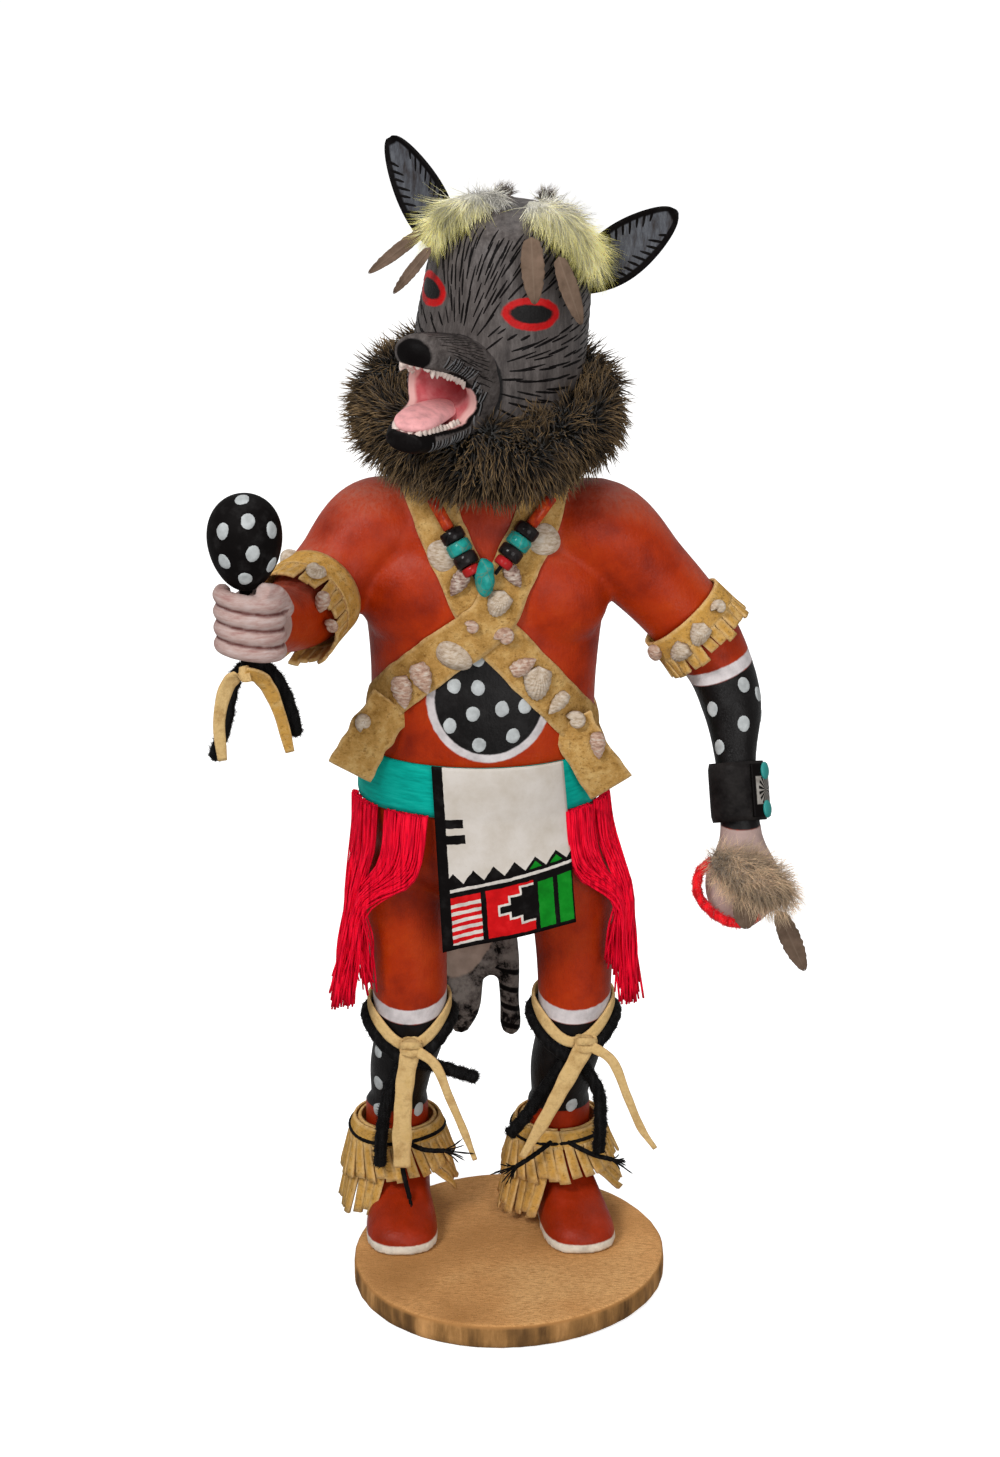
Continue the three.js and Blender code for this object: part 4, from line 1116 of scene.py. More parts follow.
class DOLL_OT_stage(bpy.types.Operator):
    """Camera at the photograph's angle, a pale floor and soft studio light"""

    bl_idname = "doll.stage"
    bl_label = "Stage"

    def execute(self, context):
        lens = bpy.data.cameras.new("camera")
        lens.sensor_width = SENSOR
        lens.lens = FOCAL_PIXELS / PHOTO_HIGH * SENSOR
        camera = bpy.data.objects.new("camera", lens)
        camera.location = CAMERA_AT * MM
        camera.rotation_euler = (math.radians(90) - CAMERA_DOWN, 0, 0)
        context.collection.objects.link(camera)
        context.scene.camera = camera
        half, under = 4000.0, -0.3
        corners = [(-half, -half, under), (half, -half, under), (half, half, under), (-half, half, under)]
        floor = new_object("floor", [(np.array(corners), [[0, 1, 2, 3]])])
        f = Finish("floor_paper")
        paper = f.ramp(f.noise(3.0), (0.3, (0.78, 0.78, 0.78, 1)), (0.7, (0.82, 0.82, 0.82, 1)))
        floor.data.materials.append(f.finish(paper, 0.9, Emission_Color=(1, 1, 1, 1), Emission_Strength=0.7))
        floor.visible_glossy = False
        floor.visible_diffuse = False
        lamps = [
            ("key", (-0.75, -1.0, 1.25), 0.5, 16.0),
            ("fill", (0.5, -1.3, 0.45), 0.9, 8.0),
            ("top", (0.1, 0.5, 1.5), 0.9, 7.0),
        ]
        for name, spot, wide, power in lamps:
            light = bpy.data.lights.new(name, "AREA")
            light.shape = "DISK"
            light.size = wide
            light.energy = power
            lamp = bpy.data.objects.new(name, light)
            lamp.location = spot
            aim = Vector((0, 0.02, 0.2)) - Vector(spot)
            lamp.rotation_euler = aim.to_track_quat("-Z", "Y").to_euler()
            context.collection.objects.link(lamp)
        world = bpy.data.worlds.new("studio")
        world.use_nodes = True
        world.node_tree.nodes["Background"].inputs["Color"].default_value = (1, 1, 1, 1)
        world.node_tree.nodes["Background"].inputs["Strength"].default_value = 0.38
        context.scene.world = world
        context.scene.view_settings.view_transform = "Standard"
        return {"FINISHED"}


class DOLL_OT_base(bpy.types.Operator):
    """The sawn log slice that the doll stands on"""

    bl_idname = "doll.base"
    bl_label = "Base"

    def execute(self, context):
        wide, deep, thick, wave, sides = 55.5, 58.5, 9.0, 0.018, 220
        turn = full_turn(sides)
        outline = 1 + wave * np.sin(2 * turn) + wave / 2 * np.cos(3 * turn + 0.6)
        rough = uneven(np.cos(turn) * 14, np.sin(turn) * 14, 1.7)
        steps = [(0.01, 0), (0.5, 0), (0.985, 0), (1, 0.9), (1.002, 3), (1.002, 6)]
        steps += [(0.998, 8.1), (0.985, 8.9)]
        steps += [(share, thick) for share in (0.965, 0.8, 0.6, 0.4, 0.2, 0.01)]
        rings = []
        for share, rise in steps:
            edge = share * outline * (1 + (0.004 * rough if share > 0.95 else 0))
            x, y = edge * wide * np.cos(turn), edge * deep * np.sin(turn)
            rings.append(np.column_stack([x, y, np.full(sides, rise)]))
        cad_low, cad_high = (np.array(v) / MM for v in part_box("base"))
        middle = (cad_low + cad_high) / 2
        shell, faces = stack(rings)
        piece = new_object("log_base", [(shell + np.array([middle[0], middle[1], 0]), faces)])
        dress(piece, log_finish(), ["base"])
        return {"FINISHED"}


class DOLL_OT_figure(bpy.types.Operator):
    """The carved and painted figure, its dabs of white and its hair strokes"""

    bl_idname = "doll.figure"
    bl_label = "Figure"

    def execute(self, context):
        piece = fused("carved_figure", figure_shells(), size("figure_grain"), 5)
        paint_figure(piece)
        dress(piece, body_finish(), ["figure"])
        hand = fused("carved_hand_right", fist_shells(), HAND_GRAIN, 2)
        own = points_of(hand) - FIST
        level = (own[:, 2] + FINGER_TILT * own[:, 0]) / FINGER_PITCH
        between = np.abs(level - np.round(level)) * FINGER_PITCH
        # Distances to the creases between the fingers, where painted shade goes.
        crease_shade = np.where((own[:, 1] < -2) & (np.abs(level) < 1.4), between - 0.55, 5.0)
        mark(hand, "paint_crease", crease_shade)
        dress(hand, hand_finish(), ["figure"])
        skin = skin_of("carved_figure")
        shells = dabs(skin, BELLY_DABS + FOREARM_DABS + LEG_DABS, 5.8, 0)
        shells += dabs(skin, HIDDEN_DABS, 5.8, 60)
        white = new_object("white_dabs", shells)
        dress(white, flat_paint("dab_white", "dab", 0.6), ["figure"])
        hairs = new_object("head_hair_strokes", hair_strokes(skin))
        dress(hairs, flat_paint("stroke_black", "black_paint", 0.5), ["figure"])
        return {"FINISHED"}


class DOLL_OT_muzzle(bpy.types.Operator):
    """The open muzzle with its teeth, tongue and hairs"""

    bl_idname = "doll.muzzle"
    bl_label = "Muzzle"

    def execute(self, context):
        shells = [on_head(tube(part, (0, 0, 1), 40, 50)) for part in (CHEEKS, UPPER_JAW, LOWER_JAW)]
        shells.append(on_head(ball(*NOSE)))
        whole = fused("muzzle_whole", shells, size("face_grain"), 4)
        whole_skin = skin_of("muzzle_whole")
        cutter = fused("muzzle_cutter", mouth_cutter(), size("face_grain"), 0)
        cut = whole.modifiers.new("Mouth", "BOOLEAN")
        cut.operation = "DIFFERENCE"
        cut.solver = "EXACT"
        cut.object = cutter
        run_together(whole, size("face_grain"), 2)
        remove(cutter)
        whole.name = "carved_muzzle"
        at = points_of(whole)
        own = to_head(at)
        depth = np.array([whole_skin.find_nearest(Vector(p))[3] for p in at])
        x, y, z = own.T
        edge = lip_line(70)
        away = np.sqrt(((own[:, None, 1:] - edge[None]) ** 2).sum(-1)).min(1)
        nose = np.maximum(ellipse_gap(x - 1.3, z - 49.6, (6.4, 5.0)), y + 58.6)
        chin = np.maximum(y + 57.5, z - 24.2)
        mark(whole, "paint_lip", np.where(z > 44, 5.0, away - 1.3))
        mark(whole, "paint_chin", np.minimum(nose, chin))
        mark(whole, "paint_mouth", np.where((y < -62) & (z > 46), 6.0, 0.45 - depth))
        # Painted shade where the mouth cut is deep and far back.
        mark(whole, "paint_throat", np.where(depth > 2, -33 - y, 9))
        dress(whole, face_finish(), ["muzzle"])
        hairs = new_object("muzzle_hair_strokes", muzzle_strokes(skin_of("carved_muzzle")))
        dress(hairs, bpy.data.materials["stroke_black"], ["muzzle"])
        glints = new_object("lip_hair_strokes", lip_strokes(skin_of("carved_muzzle"), 0.85, 0.7))
        dress(glints, flat_paint("stroke_grey", "hair_light"), ["muzzle"])
        teeth = new_object("teeth", teeth_shells())
        dress(teeth, flat_paint("tooth_white", "tooth", 0.45), ["muzzle"])
        lick = new_object("carved_tongue", [on_head(tube(TONGUE, (0, 0, 1), 24, 30))])
        dress(lick, flat_paint("tongue_pink", "tongue", 0.45), ["tongue"])
        return {"FINISHED"}


class DOLL_OT_ears(bpy.types.Operator):
    """The two leaf-shaped ears and the hairs inside them"""

    bl_idname = "doll.ears"
    bl_label = "Ears"

    def execute(self, context):
        finish = ear_finish()
        across, along = np.meshgrid(np.linspace(-1, 1, 33), np.linspace(0, 0.995, 56))
        edge = np.minimum((1 - np.abs(across)) * ear_half(along), (1 - along) * EAR_LONG * 0.75)
        for side in EARS:
            front, back = ear_points(side, across, along, True), ear_points(side, across, along, False)
            shell = slab(back, front)
            piece = new_object(f"carved_ear_{side}", [shell])
            rim = np.concatenate([np.full_like(edge, 0.4), edge[:, ::-1] - 2.1], 1)
            mark(piece, "paint_rim", rim)
            dress(piece, finish, [f"ear_{side}"])
            pick = random.Random(7)
            skin = skin_of(piece.name)
            shells = []
            for way in (-1, 1):
                for share in np.linspace(0.14, 0.84, 11):
                    spot = ear_points(side, np.array([way * 0.84]), np.array([share]), True)[0]
                    inner = ear_points(side, np.array([way * 0.3]), np.array([share - 0.1]), True)[0]
                    shells.append(stroke(skin, spot, inner - spot, pick.uniform(4.2, 6.4), 1.1, 0.12))
            hairs = new_object(f"ear_hair_strokes_{side}", shells)
            dress(hairs, bpy.data.materials["stroke_black"], [f"ear_{side}"])
        return {"FINISHED"}


# Leather, cloth, fibre and stone.


def leather_finish(name="suede", light="leather", dark="leather_dark", specks=0.7):
    """Rough suede, mottled on its face and pale along its cut edges."""
    f = Finish(name)
    patch = f.noise(150.0, 6.0, 0.7)
    nap = f.noise(1100.0, 4.0, 0.75)
    speck = f.noise(1.0, 4.0, 0.8, f.stretched((520.0, 520.0, 760.0)))
    tint = f.ramp(patch, (0.34, dark), (0.5, light), (0.68, "leather_pale"))
    tint = f.mix(f.range(speck, 0.53, 0.66, 0.0, specks), tint, "leather_speck")
    tint = f.mix(f.range(nap, 0.54, 0.72, 0.0, 0.55), tint, "leather_pale")
    worn = f.math("MULTIPLY", f.attribute("edge"), f.range(f.noise(420.0, 3.0), 0.35, 0.6, 0.25, 1.0))
    tint = f.mix(worn, tint, "leather_edge")
    return f.finish(tint, 0.86, f.bump(nap, 0.5, 0.8, f.bump(speck, 0.6, 0.6, f.bump(patch, 0.8, 0.4))))


def black_leather_finish():
    """Worn black hide."""
    f = Finish("black_hide")
    grain = f.cells(900.0)["Distance"]
    worn = f.noise(160.0, 5.0, 0.6)
    tint = f.ramp(worn, (0.35, "hide"), (0.75, "hide_worn"))
    return f.finish(tint, 0.5, f.bump(grain, 0.2, 0.5, f.bump(worn, 0.5, 0.4)))


def belt_finish():
    """Turquoise paint laid on lengthways by brush."""
    f = Finish("belt_paint")
    brush = f.noise(1.0, 4.0, 0.65, f.stretched((120.0, 120.0, 900.0)))
    tint = f.ramp(brush, (0.28, "belt_dark"), (0.52, "belt"), (0.78, "belt_light"))
    return f.finish(tint, 0.48, f.bump(brush, 0.3, 0.5))


def thread_finish(name, tint, sheen=0.3):
    """Spun thread: fine twist lines and a little shine."""
    f = Finish(name)
    vary = f.noise(1.0, 3.0, 0.6, f.stretched((900.0, 900.0, 30.0)))
    deep = tuple(c * 0.5 for c in colour(tint)[:3]) + (1.0,)
    pale = tuple(min(1, c * 1.35 + 0.01) for c in colour(tint)[:3]) + (1.0,)
    shade = f.ramp(vary, (0.32, deep), (0.52, tint), (0.76, pale))
    fine = f.noise(2500.0, 2.0)
    return f.finish(shade, 0.62, f.bump(fine, 0.15, 0.6), Sheen_Weight=sheen, Sheen_Roughness=0.4)


def strand_finish(name, root, middle, tip, sheen=0.2):
    """Hairs or barbs: root to tip along each one, each a little different."""
    f = Finish(name)
    tint = f.ramp(f.attribute("along"), (0.05, root), (0.5, middle), (0.95, tip))
    single = f.range(f.attribute("shade"), 0.0, 1.0, 0.55, 1.35)
    patch = f.range(f.noise(90.0, 4.0), 0.32, 0.68, 0.55, 1.4)
    for depth in (single, patch):
        grey = f.add("CombineColor", {"Red": depth, "Green": depth, "Blue": depth})["Color"]
        tint = f.mix(1.0, tint, grey, "MULTIPLY")
    return f.finish(tint, 0.7, Sheen_Weight=sheen)


def stone_finish(name, light, dark, vein, rough=0.28):
    """A polished stone with soft clouds and a few veins."""
    f = Finish(name)
    cloud = f.noise(330.0, 5.0, 0.6)
    tint = f.ramp(cloud, (0.35, dark), (0.62, light))
    cracks = f.cells(260.0, "DISTANCE_TO_EDGE")["Distance"]
    tint = f.mix(f.range(cracks, 0.0, 0.05, 0.55, 0.0), tint, vein)
    return f.finish(tint, rough, f.bump(cloud, 0.12, 0.4), Coat_Weight=0.15)


def shell_finish(name):
    """A sea shell: chalky bands of growth across its ribs."""
    light, dark = name, f"{name}_dark"
    f = Finish(name)
    band = f.noise(1.0, 3.0, 0.6, f.stretched((500.0, 500.0, 1300.0), (0.3, 0.6, 0.2)))
    spot = f.noise(360.0, 4.0, 0.7)
    tint = f.ramp(band, (0.34, dark), (0.5, light), (0.7, "shell_white"))
    tint = f.mix(f.range(spot, 0.55, 0.75, 0.0, 0.6), tint, dark)
    return f.finish(tint, 0.42, f.bump(band, 0.15, 0.5))


def feather_finish():
    """A quill feather: fine slanted barbs, darker along the shaft and the tip."""
    f = Finish("quill")
    across = f.attribute("across")
    along = f.attribute("along")
    out = f.math("ABSOLUTE", across)
    slant = f.math("ADD", f.math("MULTIPLY", along, 46.0), f.math("MULTIPLY", out, -7.0))
    barbs = f.math("PINGPONG", slant, 0.5)
    fade = f.noise(300.0, 4.0)
    tint = f.ramp(fade, (0.3, "quill_dark"), (0.7, "quill"))
    tint = f.mix(f.range(barbs, 0.1, 0.5, 0.0, 0.35), tint, "quill_dark")
    tint = f.mix(f.range(along, 0.7, 1.0, 0.0, 0.5), tint, "quill_dark")
    shaft = f.range(out, 0.04, 0.1, 1.0, 0.0)
    tint = f.mix(f.math("MULTIPLY", shaft, 0.7), tint, "quill_pale")
    return f.finish(tint, 0.62, f.bump(barbs, 0.2, 0.5))


def pelt_finish():
    """The carved pelt: grey paint mottled with black, and a pale belly patch."""
    f = Finish("pelt_paint")
    mottle = f.noise(120.0, 5.0, 0.7)
    grey = f.ramp(mottle, (0.42, "black_paint"), (0.49, "pelt_dark"), (0.6, "pelt"))
    belly = coated(f, "pelt_pale", 120.0)
    tint = f.mix(f.inside("paint_belly", 0.5), grey, belly)
    tint = f.mix(f.inside("paint_ringed", 0.3), tint, "black_paint")
    return f.finish(tint, 0.6, f.bump(mottle, 0.5, 0.5))


def plaque_finish():
    """A silver plate with a black sunburst."""
    f = Finish("sunburst_plate")
    across, along = f.attribute("across"), f.attribute("along")
    angle = f.math("ARCTAN2", across, along)
    rays = f.math("PINGPONG", f.math("MULTIPLY", angle, 2.55), 0.5)
    squares = [f.math("MULTIPLY", part, part) for part in (across, along)]
    reach = f.math("SQRT", f.math("ADD", *squares))
    black = f.math("MULTIPLY", f.range(rays, 0.2, 0.24), f.range(reach, 0.62, 0.58))
    black = f.math("MAXIMUM", black, f.range(f.math("ABSOLUTE", across), 0.74, 0.78))
    black = f.math("MAXIMUM", black, f.range(f.math("ABSOLUTE", along), 0.5, 0.54))
    tarnish = f.noise(400.0, 4.0)
    silver = f.ramp(tarnish, (0.3, "silver_dark"), (0.7, "silver"))
    tint = f.mix(black, silver, "black_paint")
    metal = f.range(black, 0.0, 1.0, 0.4, 0.0)
    return f.finish(tint, 0.36, f.bump(tarnish, 0.1, 0.4), Metallic=metal)


def window(f, across, down, left, right, top, bottom):
    """One inside a rectangle of the cloth."""
    wide = f.math("MULTIPLY", f.math("GREATER_THAN", across, left), f.math("LESS_THAN", across, right))
    high = f.math("MULTIPLY", f.math("GREATER_THAN", down, top), f.math("LESS_THAN", down, bottom))
    return f.math("MULTIPLY", wide, high)


# The kilt flap's top and foot: left edge, width, height at the left edge and rise to the right.
KILT_HELD, KILT_FOOT = (-26.0, 45.0, 194.8, 0.0), (-22.5, 46.5, 126.0, 11.5)
# Its painted design, as shares of its width and length: the lines rise a little to the right, and
# KILT_PAST lies past its edges.
KILT_SLANT = 0.047
KILT_TEETH = (0.155, 0.033, 0.586, 0.652)
KILT_LINE = (0.672, 0.69)
KILT_PANEL = (0.718, 0.975)
KILT_BARS = [(0.055, 0.215, 0.285, 0.335), (0.055, 0.225, 0.372, 0.422)]
KILT_STRIPES = (0.08, 0.31, 0.0425)
KILT_STEP_PANEL = (0.35, 0.705)
KILT_STEPS = [(0.615, 0.705, 0.745, 0.94), (0.53, 0.705, 0.785, 0.9), (0.45, 0.705, 0.825, 0.865)]
KILT_STEP_RIM = (0.016, 0.0128)
KILT_PAST = 2.0
KILT_GREENS = [(0.737, 0.85), (0.885, 0.99)]


def kilt_finish():
    """White painted cloth with its traditional border of teeth, stripes, steps and bars."""
    f = Finish("kilt_paint")
    shake = f.math("SUBTRACT", f.math("MULTIPLY", f.noise(330.0, 2.0), 0.012), 0.006)
    across = f.math("ADD", f.attribute("across"), shake)
    plain = f.math("ADD", f.attribute("down"), shake)
    down = f.math("ADD", plain, f.math("MULTIPLY", f.attribute("across"), KILT_SLANT))
    stain = f.noise(60.0, 5.0, 0.65)
    fleck = f.noise(900.0, 3.0, 0.75)
    tint = f.ramp(stain, (0.3, "kilt_stain"), (0.58, "kilt"))
    tint = f.mix(f.range(fleck, 0.63, 0.75, 0.0, 0.5), tint, "kilt_stain")
    black = coated(f, "black_paint", 200.0)
    red, green, white = (coated(f, name, 200.0) for name in ("kilt_red", "kilt_green", "kilt"))
    period, shift, peak, valley = KILT_TEETH
    saw = f.math("DIVIDE", f.math("PINGPONG", f.math("SUBTRACT", across, shift), period / 2), period / 2)
    tooth_edge = f.math("SUBTRACT", valley, f.math("MULTIPLY", saw, valley - peak))
    below = f.math("GREATER_THAN", down, tooth_edge)
    tint = f.mix(below, tint, black)
    deeper = f.math("GREATER_THAN", down, f.math("ADD", tooth_edge, 0.026))
    filled = f.math("MULTIPLY", deeper, f.math("LESS_THAN", down, valley))
    tint = f.mix(f.math("MULTIPLY", filled, f.math("GREATER_THAN", across, 0.655)), tint, green)
    tint = f.mix(window(f, across, down, 0.05, KILT_PAST, *KILT_LINE), tint, white)
    top, bottom = KILT_PANEL
    left, right, stripe = KILT_STRIPES
    tint = f.mix(window(f, across, down, left, right, top, KILT_PAST), tint, red)
    wave = f.math("PINGPONG", f.math("SUBTRACT", down, top + 0.006), stripe / 2)
    bands = f.math("LESS_THAN", wave, stripe * 0.24)
    striped = f.math("MULTIPLY", window(f, across, down, left, right, top + 0.02, KILT_PAST), bands)
    tint = f.mix(striped, tint, white)
    tint = f.mix(window(f, across, down, *KILT_STEP_PANEL, top, KILT_PAST), tint, red)
    rim, rise = KILT_STEP_RIM
    for low, high, upper, lower in KILT_STEPS:
        outline = window(f, across, down, low - rim, high, upper - rise, lower + rise)
        tint = f.mix(outline, tint, white)
    for step in KILT_STEPS:
        tint = f.mix(window(f, across, down, *step), tint, black)
    for low, high in KILT_GREENS:
        tint = f.mix(window(f, across, down, low, high, top + 0.018, KILT_PAST), tint, green)
    for bar in KILT_BARS:
        tint = f.mix(window(f, across, plain, *bar), tint, black)
    border = f.math("MAXIMUM", f.math("LESS_THAN", across, 0.082), f.math("GREATER_THAN", plain, bottom))
    tint = f.mix(border, tint, black)
    weave = f.noise(1400.0, 3.0)
    return f.finish(tint, 0.7, f.bump(weave, 0.14, 0.5, f.bump(stain, 0.6, 0.3)))


# Scattered hairs: the names of the four numbers that say how they lie, and those of yarn fuzz.
LIE_NAMES = ("Shortest", "Lean", "Clump", "Clump Scale")
FUZZ_LIE = (0.4, 0.9, 0.8, 500.0)


def blade(name, long, wide, bow, steps=2):
    """One tapered three-sided hair that stands on the origin and bows to one side."""
    rows = []
    for step in range(steps + 1):
        share = step / steps
        radius = wide / 2 * (1 - share) ** 0.7 + wide * 0.02
        middle = np.array([bow * long * share**2, 0, long * share])
        rows.append([middle + radius * np.array([math.cos(a), math.sin(a), 0]) for a in (0.5, 2.6, 4.7)])
    piece = new_object(name, [stack(rows)])
    mark(piece, "along", np.repeat(np.linspace(0, 1, steps + 1), 3))
    return piece


def scatter_tree():
    """A node tree that stands copies of one hair all over a skin and makes them real."""
    tree = bpy.data.node_groups.new("hair_scatter", "GeometryNodeTree")
    wanted = [("Geometry", "Geometry"), ("Hair", "Object"), ("Finish", "Material"), ("Comb", "Vector")]
    wanted += [("Seed", "Int"), ("Density", "Float"), *((name, "Float") for name in LIE_NAMES)]
    for label, kind in wanted:
        tree.interface.new_socket(name=label, in_out="INPUT", socket_type="NodeSocket" + kind)
    tree.interface.new_socket(name="Geometry", in_out="OUTPUT", socket_type="NodeSocketGeometry")
    given = tree.nodes.new("NodeGroupInput").outputs

    def node(kind, links, **settings):
        made = tree.nodes.new(kind)
        for key, value in settings.items():
            setattr(made, key, value)
        for key, value in links.items():
            if isinstance(value, bpy.types.NodeSocket):
                tree.links.new(value, made.inputs[key])
            else:
                made.inputs[key].default_value = value
        return made.outputs

    def vector(operation, first, second):
        return node("ShaderNodeVectorMath", {0: first, 1: second}, operation=operation)[0]

    def scaled(value, share):
        return node("ShaderNodeVectorMath", {0: value, "Scale": share}, operation="SCALE")[0]

    def drawn(low, high, seed):
        return node("FunctionNodeRandomValue", {2: low, 3: high, "Seed": seed}, data_type="FLOAT")[1]

    seed = given["Seed"]
    spots = node(
        "GeometryNodeDistributePointsOnFaces",
        {"Mesh": given["Geometry"], "Density": given["Density"], "Seed": seed},
    )
    cube = {0: (-1, -1, -1), 1: (1, 1, 1), "Seed": seed}
    any_way = node("FunctionNodeRandomValue", cube, data_type="FLOAT_VECTOR")[0]
    spread = scaled(any_way, given["Lean"])
    waves = {"Vector": node("GeometryNodeInputPosition", {})[0], "Scale": given["Clump Scale"], "Detail": 1.0}
    centred = vector("SUBTRACT", node("ShaderNodeTexNoise", waves)["Color"], (0.5, 0.5, 0.5))
    tufts = scaled(centred, given["Clump"])
    heading = vector("ADD", vector("ADD", spots["Normal"], spread), vector("ADD", tufts, given["Comb"]))
    upright = node("FunctionNodeAlignRotationToVector", {"Vector": heading}, axis="Z")[0]
    roll = {"Axis": (0, 0, 1), "Angle": drawn(0.0, 6.28, seed)}
    spin = {"Rotation": upright, "Rotate By": node("FunctionNodeAxisAngleToRotation", roll)[0]}
    facing = node("FunctionNodeRotateRotation", spin, rotation_space="LOCAL")[0]
    grown = drawn(given["Shortest"], 1.0, seed)
    hair = node("GeometryNodeObjectInfo", {"Object": given["Hair"]})["Geometry"]
    copies = {"Points": spots["Points"], "Instance": hair, "Rotation": facing, "Scale": grown}
    hairs = node("GeometryNodeInstanceOnPoints", copies)[0]
    shade = {"Geometry": hairs, "Name": "shade", "Value": drawn(0.0, 1.0, 9)}
    toned = node("GeometryNodeStoreNamedAttribute", shade, data_type="FLOAT", domain="INSTANCE")[0]
    real = node("GeometryNodeRealizeInstances", {"Geometry": toned})[0]
    done = node("GeometryNodeSetMaterial", {"Geometry": real, "Material": given["Finish"]})[0]
    node("NodeGroupOutput", {"Geometry": done})
    return tree


def hairy(name, skin, hair, finish, count, lie, comb=(0, 0, 0), seed=1):
    """A piece of hairs that grow from a skin piece; lie is their shortest, lean, clump and clump scale."""
    tree = bpy.data.node_groups.get("hair_scatter") or scatter_tree()
    piece = bpy.data.objects.new(name, skin.data.copy())
    bpy.context.collection.objects.link(piece)
    area = sum(p.area for p in piece.data.polygons)
    grow = piece.modifiers.new("Hair", "NODES")
    grow.node_group = tree
    values = {"Hair": hair, "Finish": finish, "Density": count / area, "Comb": comb, "Seed": seed}
    values.update(zip(LIE_NAMES, lie))
    for item in tree.interface.items_tree:
        if item.in_out == "INPUT" and item.name in values:
            grow[item.identifier] = values[item.name]
    settle(piece)
    return piece


# Sewn and tied pieces.

kept = {}


def trunk_skin():
    """The bare trunk and shoulders, for what is worn on them."""
    if "trunk" not in kept:
        shells = [tube(TORSO, None, 56, 110), *(ball(at, radii) for at, radii in BREASTS)]
        shells += [tube(ARM_RIGHT[:3], (0, 0, 1), 36, 24), tube(ARM_LEFT[:3], (0, -1, 0), 36, 24)]
        trunk = fused("trunk", shells, TRUNK_GRAIN, 5)
        kept["trunk"] = skin_of("trunk")
        remove(trunk)
    return kept["trunk"]


def chest(x, z, lift=0.0):
    """The point in front of the trunk at x and z, lifted off it."""
    point = trunk_skin().ray_cast(Vector((x, -200, z)), Vector((0, 1, 0)))[0]
    return np.array(point) + np.array([0, -lift, 0])


def cut_edges(rows, columns, looped=False):
    """One along the cut edges of a slab, nought elsewhere."""
    cut = np.zeros((rows, columns))
    cut[:, [0, -1]] = 1.0
    if not looped:
        cut[[0, -1]] = 1.0
    return both_faces(cut)


def grown_slab(inner, outer, looped=False):
    """A slab with the mark that shows its cut edges."""
    return slab(inner, outer, looped), cut_edges(*np.shape(inner)[:2], looped)


def leather_piece(name, slabs, finish, nodes):
    """A piece cut from leather."""
    piece = new_object(name, [shell for shell, _ in slabs])
    mark(piece, "edge", np.concatenate([edge for _, edge in slabs]))
    return dress(piece, finish, nodes)


def ribbon_slab(path, wideways, wide, thick, **more):
    """A ribbon with its cut edges marked."""
    steps, count = more.get("steps", 40), more.get("across_count", 7)
    return ribbon(path, wideways, wide, thick, **more), cut_edges(steps, count)


def eased(grid, passes):
    """A looped grid smoothed along its rows."""
    for _ in range(passes):
        grid = (np.roll(grid, 1, 0) + 2 * grid + np.roll(grid, -1, 0)) / 4
    return grid


def strap_slab(which):
    """One bandolier as a loop laid round the trunk."""
    half, thick, rows = size("strap_width") / 2, size("strap_thickness"), 260
    loop = STRAP_LOOPS[which]
    path = eased(smooth_run([*loop, loop[0]], rows + 1)[:-1], 14)
    found = [laid(trunk_skin(), point) for point in path]
    path = eased(np.array([point for point, _ in found]), 6)
    outward = unit(eased(np.array([normal for _, normal in found]), 14))
    along = unit(eased(np.roll(path, -1, 0) - np.roll(path, 1, 0), 8))
    side = unit(np.cross(outward, along))
    reach = np.linspace(-1, 1, 11)
    points, normals = np.zeros((rows, 11, 3)), np.zeros((rows, 11, 3))
    for row in range(rows):
        turn = 2 * math.pi * row / rows
        stray = noise.noise((math.cos(turn) * 4, math.sin(turn) * 4, half)) * 0.8
        for column, share in enumerate(reach):
            ragged = 0.35 * noise.noise((row * 0.23, share * 5, thick)) * share**4
            spot = path[row] + side[row] * (half * share + stray + ragged)
            points[row, column], normals[row, column] = laid(trunk_skin(), spot)
    points, normals = eased(points, 4), unit(eased(normals, 10))
    x, z = points[..., 0], points[..., 2]
    lift = 0.25 + 2.2 * np.clip((200 - z) / 6, 0, 1)
    if which == "over":
        near = np.hypot(x - STRAP_CROSS[0], z - STRAP_CROSS[1])
        lift = lift + (thick + 0.3) * np.exp(-((near / 15) ** 4))
    inner = points + normals * lift[..., None]
    swell = thick * (1 - 0.4 * np.abs(reach) ** 6)
    return grown_slab(inner, inner + normals * swell[None, :, None], True)


def ring_path(middle, radius, front, rise, count=64):
    """A loop tied round a leg: lowest in front, where its height is front, and rise higher behind."""
    turn = np.linspace(-np.pi, np.pi, count)
    height = front + rise * (1 - np.exp(-((turn / 0.95) ** 2)))
    return np.column_stack([middle[0] + radius * np.sin(turn), middle[1] - radius * np.cos(turn), height])


def knot(at, radius):
    """A small tied lump."""
    turn = np.linspace(0, 2 * np.pi, 13)
    shells = [ball(at, np.array([1.25, 0.9, 1.0]) * radius, 18, 12)]
    for tilt in (0.5, -0.6):
        loop = np.column_stack([1.2 * np.cos(turn), 0.95 * np.sin(turn), tilt * np.sin(turn)]) * radius
        shells.append(ribbon(loop + np.array(at), (0, 0.2, 1), radius * 0.9, radius * 0.45, 24, 5))
    return shells


def declare(piece, path, diameter, count=24):
    """Smooths a free end's route into a line, which is not kept; its thickness is not used."""
    line = smooth_run(path, count)


